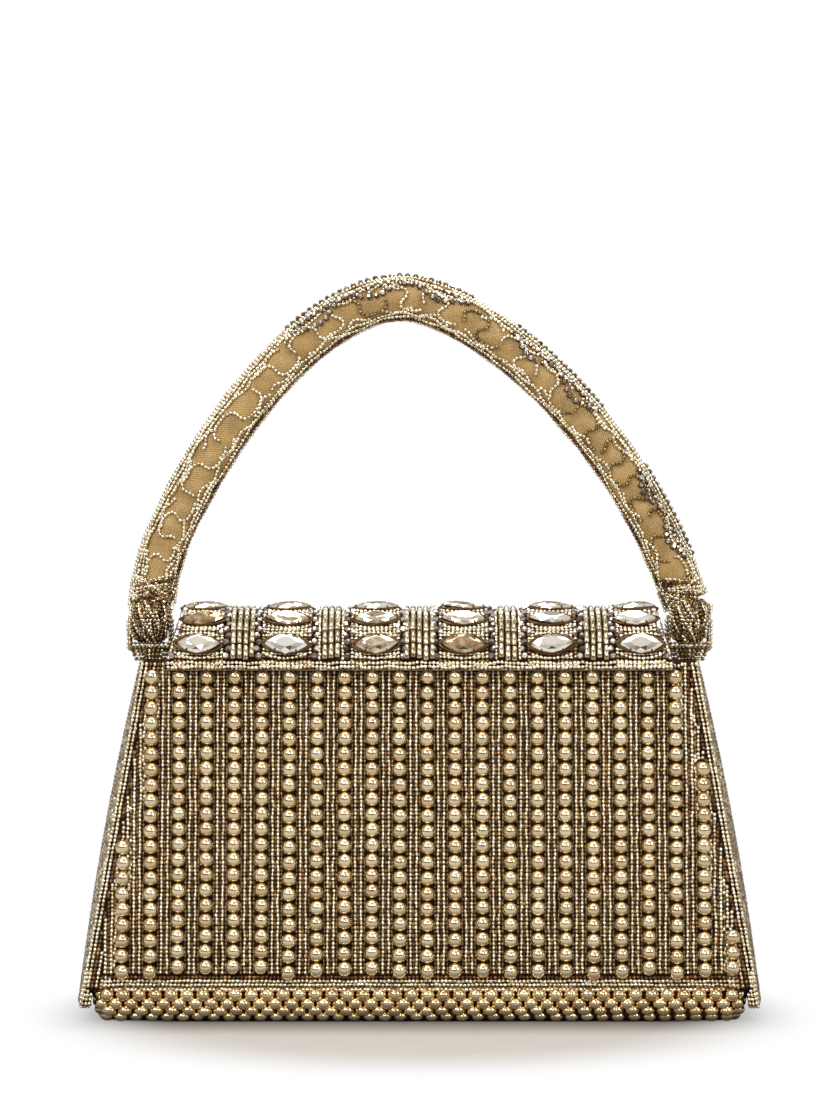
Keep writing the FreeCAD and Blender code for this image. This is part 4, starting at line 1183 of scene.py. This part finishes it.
def add_scrolls(face, state, seeds, olive):
    """The winding line of seeds down one face of the strap, in pieces with small gaps."""
    line = meander(state)
    start = 0
    while start < len(line) - 20:
        count = state.randint(70, 120)
        part = line[start:start + count]
        kind = olive if state.uniform() < OLIVE_SHARE else seeds
        kind.along_path(strap_place(part[:, 0], part[:, 1], STRAP_LIFT, face))
        start += count + state.randint(5, 12)


def add_rhinestone_run(low, high, state, stones, cups):
    """Leaf-shaped rows of small stones on both faces of the strap, and one row on its outer edge."""
    leaves = max(1, round((high - low) / (22 * MM)))
    for face in (1, -1):
        count = int((high - low) / (2.35 * MM))
        for share in (np.arange(count) + 0.5) / count:
            leaf = math.sin(math.pi * share * leaves) ** 2
            for across in (5.2 * MM, (5.0 - 3.2 * leaf) * MM):
                along = low + share * (high - low) + state.uniform(-0.2, 0.2) * MM
                spot = strap_place(along, across, 0.35 * MM, face)
                out = unit(spot - strap_place(along, across, -0.6 * MM, face))
                size = state.uniform(0.85, 1.05)
                lean = out + state.normal(0, 0.1, 3)
                sizes = round_size(0.88, 1.1) * size, round_size(0.84, 1.0) * size
                set_stone(cups, stones, spot, [0.2, 0, 1.0], out, lean, 0.35 * MM, *sizes)
    count = int((high - low) / (2.3 * MM))
    for share in (np.arange(count) + 0.5) / count:
        along = low + share * (high - low)
        spot = handle_point(along, 0.0, 0.5 * MM)
        out = unit(spot - handle_point(along, 0.0))
        lean = out + state.normal(0, 0.1, 3)
        sizes = round_size(0.95, 1.2), round_size(0.9, 1.05)
        set_stone(cups, stones, spot, [0, 1.0, 0], out, lean, 0.4 * MM, *sizes)


def build_handle_beads():
    seeds, copper, olive = seed_beads(71, 72, 76)
    stones, cups = Beads(STONE_SHAPE, 73), Beads(CUP_SHAPE, 74)
    state = np.random.RandomState(75)
    for edge in (0.0, math.pi):
        add_edge_rows(edge, state, seeds, copper)
    for face in (1, -1):
        add_scrolls(face, state, seeds, olive)
    for run in RHINESTONE_RUNS:
        low, high = np.interp(np.array(run) * MM, HANDLE_LINE[:, 0], HANDLE_REACH)
        add_rhinestone_run(low, high, state, stones, cups)
    join_seeds("handle", "handle", seeds, copper, olive, "handle_edge_beads")
    stones.join("handle_rhinestones_set", RHINESTONE, "handle", "handle_rhinestones", smooth=False)
    cups.join("handle_rhinestone_cups", ANTIQUE, "handle")


# ---- gathered ends of the handle
BULB_X = 97.0 * MM
BULB_HEIGHT = 138.9 * MM
BULB_WIDE, BULB_DEEP, BULB_TALL = 5.3 * MM, 6.4 * MM, 7.0 * MM
SWIRLS = 20  # twisted strands over each end
FILL_STRANDS = 26  # straighter olive ones under them
APRONS = 15  # strands that hang over each end
APRON_HEIGHT = 138.4 * MM


def bulb_point(side, turn, tilt, out=0.0):
    """A point over the gathered end: turn round the upright, tilt down from the top, in radians."""
    full = np.abs(np.sin(tilt)) ** 0.6
    x = side * BULB_X + (BULB_WIDE + out) * full * np.cos(turn)
    y = HANDLE_Y + (BULB_DEEP + out) * full * np.sin(turn)
    return points_of(x, y, BULB_HEIGHT + (BULB_TALL + out) * np.cos(tilt))


def build_bulb(side, name, seed):
    tilt, turn = grid(np.linspace(0.12, math.pi - 0.12, 26), np.linspace(0, TAU, 32, endpoint=False))
    rings = bulb_point(side, turn, tilt, 0.25 * MM * np.sin(9 * turn + 3 * tilt))
    weave = np.stack([turn * 6 * MM, tilt * 7 * MM], -1)
    skin(name + "_ground", rings, GROUND, "handle", name, weave, flipped=True)
    seeds, copper, olive = seed_beads(seed, seed + 1, seed + 2)
    share = np.linspace(0, 1, 60)
    for strand in range(SWIRLS):
        way = 1 if strand % 2 else -1
        swirl = way * (1.6 + 0.5 * seeds.random.uniform())
        turns = TAU * strand / SWIRLS + swirl * share
        lift = (0.45 + 0.75 * (strand % 2)) * MM
        kind = {0: olive, 2: copper}.get(strand % 5, seeds)
        kind.along_path(bulb_point(side, turns, 0.25 + share * (math.pi - 0.38), lift))
    for strand in range(FILL_STRANDS):
        turns = TAU * strand / FILL_STRANDS + 0.25 * np.sin(share * 3)
        olive.along_path(bulb_point(side, turns, 0.35 + share * (math.pi - 0.55), 0.35 * MM))
    sweep = np.linspace(math.radians(62), math.radians(238), 36)
    for strand in range(APRONS):
        lean = (strand - 7) / 7
        wide = (5.4 + 2.0 * np.sin((sweep - sweep[0]) * 1.1)) * lean + 0.7 * np.sin(sweep * 3 + strand)
        radius = (6.7 + 0.6 * (strand % 2) + 0.3 * np.sin(sweep * 5 + strand * 2)) * MM
        y, z = HANDLE_Y + radius * np.cos(sweep), APRON_HEIGHT + radius * 1.05 * np.sin(sweep)
        kind = {1: olive, 3: copper}.get(strand % 4, seeds)
        kind.along_path(points_of(side * BULB_X + wide * MM, y, z))
    foot = 0.0 if side < 0 else HANDLE_LENGTH
    for around in TAU * np.arange(12) / 12:
        begin = foot - side * (3 + 7 * seeds.random.uniform()) * MM
        over = np.linspace(begin, foot, 12)
        seeds.along_path(handle_point(over, around + np.linspace(0.8, 0, 12), 0.9 * MM))
        turns, tilts = around + np.linspace(0, 0.9, 14), np.linspace(0.55, 1.5, 14)
        copper.along_path(bulb_point(side, turns, tilts, 0.9 * MM))
    part = np.linspace(0, 1, 20)
    for face in (1, -1):
        for strand in range(16):
            rise = (0.5 + 1.5 * (strand // 4) + seeds.random.uniform(3.5, 6.5) * part) * MM
            slant = 1 if strand % 2 else -1
            across = slant * (-5.6 + 11 * part + (strand % 4 - 1.5) * 0.8)
            across = np.clip(across, -6.2, 6.2) * MM
            kind = (seeds, olive, copper, seeds)[strand % 4]
            kind.along_path(strap_place(foot - side * rise, across, (0.6 + 0.35 * (strand % 3)) * MM, face))
    join_seeds(name, "handle", seeds, copper, olive)


build_strap()
build_handle_beads()
build_bulb(-1, "left_handle_end", 301)
build_bulb(1, "right_handle_end", 311)


# ---- handle tabs and gusset tops
TAB_SEED = 0.58 * MM
TAB_LIFT = 0.28 * MM
NECK_LOW = 124.4 * MM
NECK_HIGH = 130.5 * MM
NECK_DROP = 1.6 * MM  # the back of the neck stays lower, clear of the handle when it lies back


def build_tab_beads(side, name, seed):
    """Seed beads sewn over the outer and inner faces of a handle tab, and over its foot."""
    low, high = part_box(name)
    seeds, olive = seed_beads(seed, seed + 1)
    up = np.linspace(low.z + 3.2 * MM, high.z - 1.2 * MM, 12)
    for x in (low.x - TAB_LIFT, high.x + TAB_LIFT):
        for y in np.linspace(low.y + 0.8 * MM, high.y - 0.8 * MM, 6):
            seeds.along_path(points_of(x, y, up), TAB_SEED)
    across = np.linspace(low.x + 0.6 * MM, high.x - 0.6 * MM, 12)
    for y in (low.y - TAB_LIFT, high.y + TAB_LIFT):
        for x in (low.x + 0.5 * MM, high.x - 0.5 * MM):
            seeds.along_path(points_of(x, y, up), TAB_SEED)
        seeds.along_path(points_of(across, y, low.z + 3.3 * MM), TAB_SEED)
    middle = (low.x + high.x) / 2
    share = np.linspace(0, 1, 8)
    up = NECK_LOW + (NECK_HIGH - NECK_LOW) * share
    for strand in range(9):
        lean = (strand - 4) / 4
        x = middle + lean * (4.6 + 2.6 * share) * MM
        front = low.y - 0.75 * MM - 0.5 * MM * (1 - lean**2)
        kind = seeds if strand % 3 == 1 else olive
        kind.along_path(points_of(x, front, up))
        kind.along_path(points_of(x, 2 * HANDLE_Y - front, up - NECK_DROP * share))
    across = np.linspace(middle - 7.2 * MM, middle + 7.2 * MM, 10)
    for height, forward in ((130.9 * MM, 0.0), (129.4 * MM, 0.9 * MM)):
        olive.along_path(points_of(across, front - forward, height))
        olive.along_path(points_of(across, 2 * HANDLE_Y - front + forward, height - NECK_DROP))
    join_seeds(name, "bag", seeds, olive=olive)


build_tab_beads(-1, "left_handle_tab", 321)
build_tab_beads(1, "right_handle_tab", 331)


# ---- finishes of the carried-over pieces
CARRIED = {
    "base_board": BOARD, "front_board": BOARD, "back_board": BOARD, "flap_board": BOARD,
    "body_magnets": STEEL, "flap_magnets": STEEL, "hinge_tape": TAPE, "hinge_cord": TAPE,
    "left_handle_tab": TAPE, "right_handle_tab": TAPE,
}
for node_name, node_material in CARRIED.items():
    node_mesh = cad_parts[node_name].data
    node_mesh.materials.clear()
    node_mesh.materials.append(node_material)


# ---- floor, light and camera
WHITE = (1, 1, 1, 1)
SKY_STRENGTH = 0.80
SKY_BY_HEIGHT = ((0.0, 0.25), (0.40, 0.32), (0.50, 0.42), (0.60, 0.55), (0.75, 0.80), (1.0, 0.95))
SKY_BY_DEPTH = ((0.0, 0.02), (0.012, 0.03), (0.035, 0.80), (0.25, 1.0), (0.5, 0.85), (1.0, 0.35))
# Each light: its name, place, the height it points at, width, height, power and colour.
LIGHTS = (
    ("key", (-0.75, -0.95, 1.05), 0.10, 0.40, 0.60, 11, (1.0, 0.98, 0.95)),
    ("fill", (0.95, -0.85, 0.75), 0.10, 0.30, 0.60, 6, (1.0, 0.98, 0.96)),
    ("top", (0.0, 0.15, 1.25), 0.10, 1.1, 0.8, 8.5, (1.0, 1.0, 1.0)),
    ("front", (0.0, -1.75, 0.85), 0.12, 0.26, 0.16, 5, (1.0, 0.99, 0.97)),
    ("back", (0.0, 1.3, 0.8), 0.12, 1.2, 0.6, 5, (1.0, 1.0, 1.0)),
)
CONTACT_REACH = 0.055  # how far from the bag the painted shadow on the floor reaches
CONTACT_SHADE = 0.40
OPEN_SHADE = 1.15
FADE_FROM, FADE_TO = 0.13, 0.215  # where the floor turns to pure white
LENS = 149.3
CAMERA_PLACE = (-0.0016, -1.63, 0.164)


def build_stage():
    """A pale floor that fades to pure white away from the bag, as under a lit backdrop, with a painted
    shadow that darkens its colour close round the bag.
    """
    shader = Shader("studio_floor")
    white = shader.ramp(shader.noise(40.0, 2.0), two_tone((0.39, 0.37, 0.35), (0.42, 0.40, 0.38)))
    shader.set(Roughness=0.75)
    place = shader.place()
    axes = shader.separate(place)
    past = []
    for axis, edge in (("X", HALF_WIDTH_LOW - 6 * MM), ("Y", HALF_DEPTH_LOW - 2 * MM)):
        past.append(shader.math("SUBTRACT", shader.math("ABSOLUTE", axes[axis]), edge))
    away = shader.math("MAXIMUM", *past)
    # painted shadow: the floor's colour is darkened close round the bag, from CONTACT_SHADE at its edge up
    # to OPEN_SHADE at CONTACT_REACH away
    painted_contact_shadow = shader.spread(
        away, 0.0, CONTACT_REACH, To_Min=CONTACT_SHADE, To_Max=OPEN_SHADE, interpolation_type="SMOOTHSTEP"
    )
    dim = shader.node("ShaderNodeVectorMath", operation="SCALE")
    shader.link(white, dim.inputs[0])
    shader.link(painted_contact_shadow, dim.inputs["Scale"])
    shader.set(Base_Color=dim.outputs["Vector"])
    shape = shader.node("ShaderNodeMapping", Scale=(1.5, 1.0, 1.0))
    shader.link(place, shape.inputs["Vector"])
    span = shader.node("ShaderNodeVectorMath", operation="LENGTH")
    shader.link(shape.outputs["Vector"], span.inputs[0])
    fade = shader.spread(span.outputs["Value"], FADE_FROM, FADE_TO, interpolation_type="SMOOTHSTEP")
    seen = shader.node("ShaderNodeLightPath").outputs["Is Camera Ray"]
    factor = shader.times(fade, seen)
    glow = shader.node("ShaderNodeEmission", Color=WHITE).outputs["Emission"]
    mixed = shader.mix(factor, shader.surface.outputs["BSDF"], glow)
    output = next(n for n in shader.nodes if n.type == "OUTPUT_MATERIAL")
    shader.link(mixed, output.inputs["Surface"])
    mesh = bpy.data.meshes.new("floor")
    mesh.from_pydata([(-6, -4, 0), (6, -4, 0), (6, 8, 0), (-6, 8, 0)], [], [(0, 1, 2, 3)])
    mesh.materials.append(shader.material)
    floor = bpy.data.objects.new("floor", mesh)
    bpy.context.scene.collection.objects.link(floor)


def build_world():
    """White to the camera; in reflections a lit tent with a dark opening round the camera."""
    world = bpy.data.worlds.new("studio")
    bpy.context.scene.world = world
    world.use_nodes = True
    tree = Tree(world.node_tree)
    tree.nodes.clear()
    axes = tree.separate(tree.node("ShaderNodeTexCoord").outputs["Generated"])
    graded = []
    for axis, levels in (("Z", SKY_BY_HEIGHT), ("Y", SKY_BY_DEPTH)):
        warm = [(at, (level, level * 0.98, level * 0.95)) for at, level in levels]
        graded.append(tree.ramp(tree.spread(axes[axis], -1, 1), warm))
    both = tree.node("ShaderNodeMixRGB", blend_type="MULTIPLY", Fac=1.0)
    tree.link(graded[0], both.inputs["Color1"])
    tree.link(graded[1], both.inputs["Color2"])
    tent = tree.node("ShaderNodeBackground", Strength=SKY_STRENGTH)
    tree.link(both.outputs["Color"], tent.inputs["Color"])
    plain = tree.node("ShaderNodeBackground", Color=WHITE, Strength=1.0)
    seen = tree.node("ShaderNodeLightPath").outputs["Is Camera Ray"]
    mixed = tree.mix(seen, tent.outputs["Background"], plain.outputs["Background"])
    output = tree.node("ShaderNodeOutputWorld")
    tree.link(mixed, output.inputs["Surface"])


def place_new(name, data, location):
    made = bpy.data.objects.new(name, data)
    made.location = location
    bpy.context.scene.collection.objects.link(made)
    return made


def area_light(name, place, aim, width, height, power, colour):
    data = bpy.data.lights.new(name, "AREA")
    data.shape = "RECTANGLE"
    data.size = width
    data.size_y = height
    data.energy = power
    data.color = colour
    made = place_new(name, data, place)
    made.rotation_euler = (Vector((0, 0, aim)) - Vector(place)).to_track_quat("-Z", "Y").to_euler()


def build_camera():
    data = bpy.data.cameras.new("camera")
    data.sensor_width = 36
    data.lens = LENS
    data.clip_start = 0.05
    data.clip_end = 30
    made = place_new("camera", data, CAMERA_PLACE)
    made.rotation_euler = (math.pi / 2, 0, 0)
    bpy.context.scene.camera = made


build_stage()
build_world()
for light in LIGHTS:
    area_light(*light)
build_camera()

bpy.context.scene.view_settings.view_transform = "Standard"
bpy.context.scene.view_settings.look = "None"
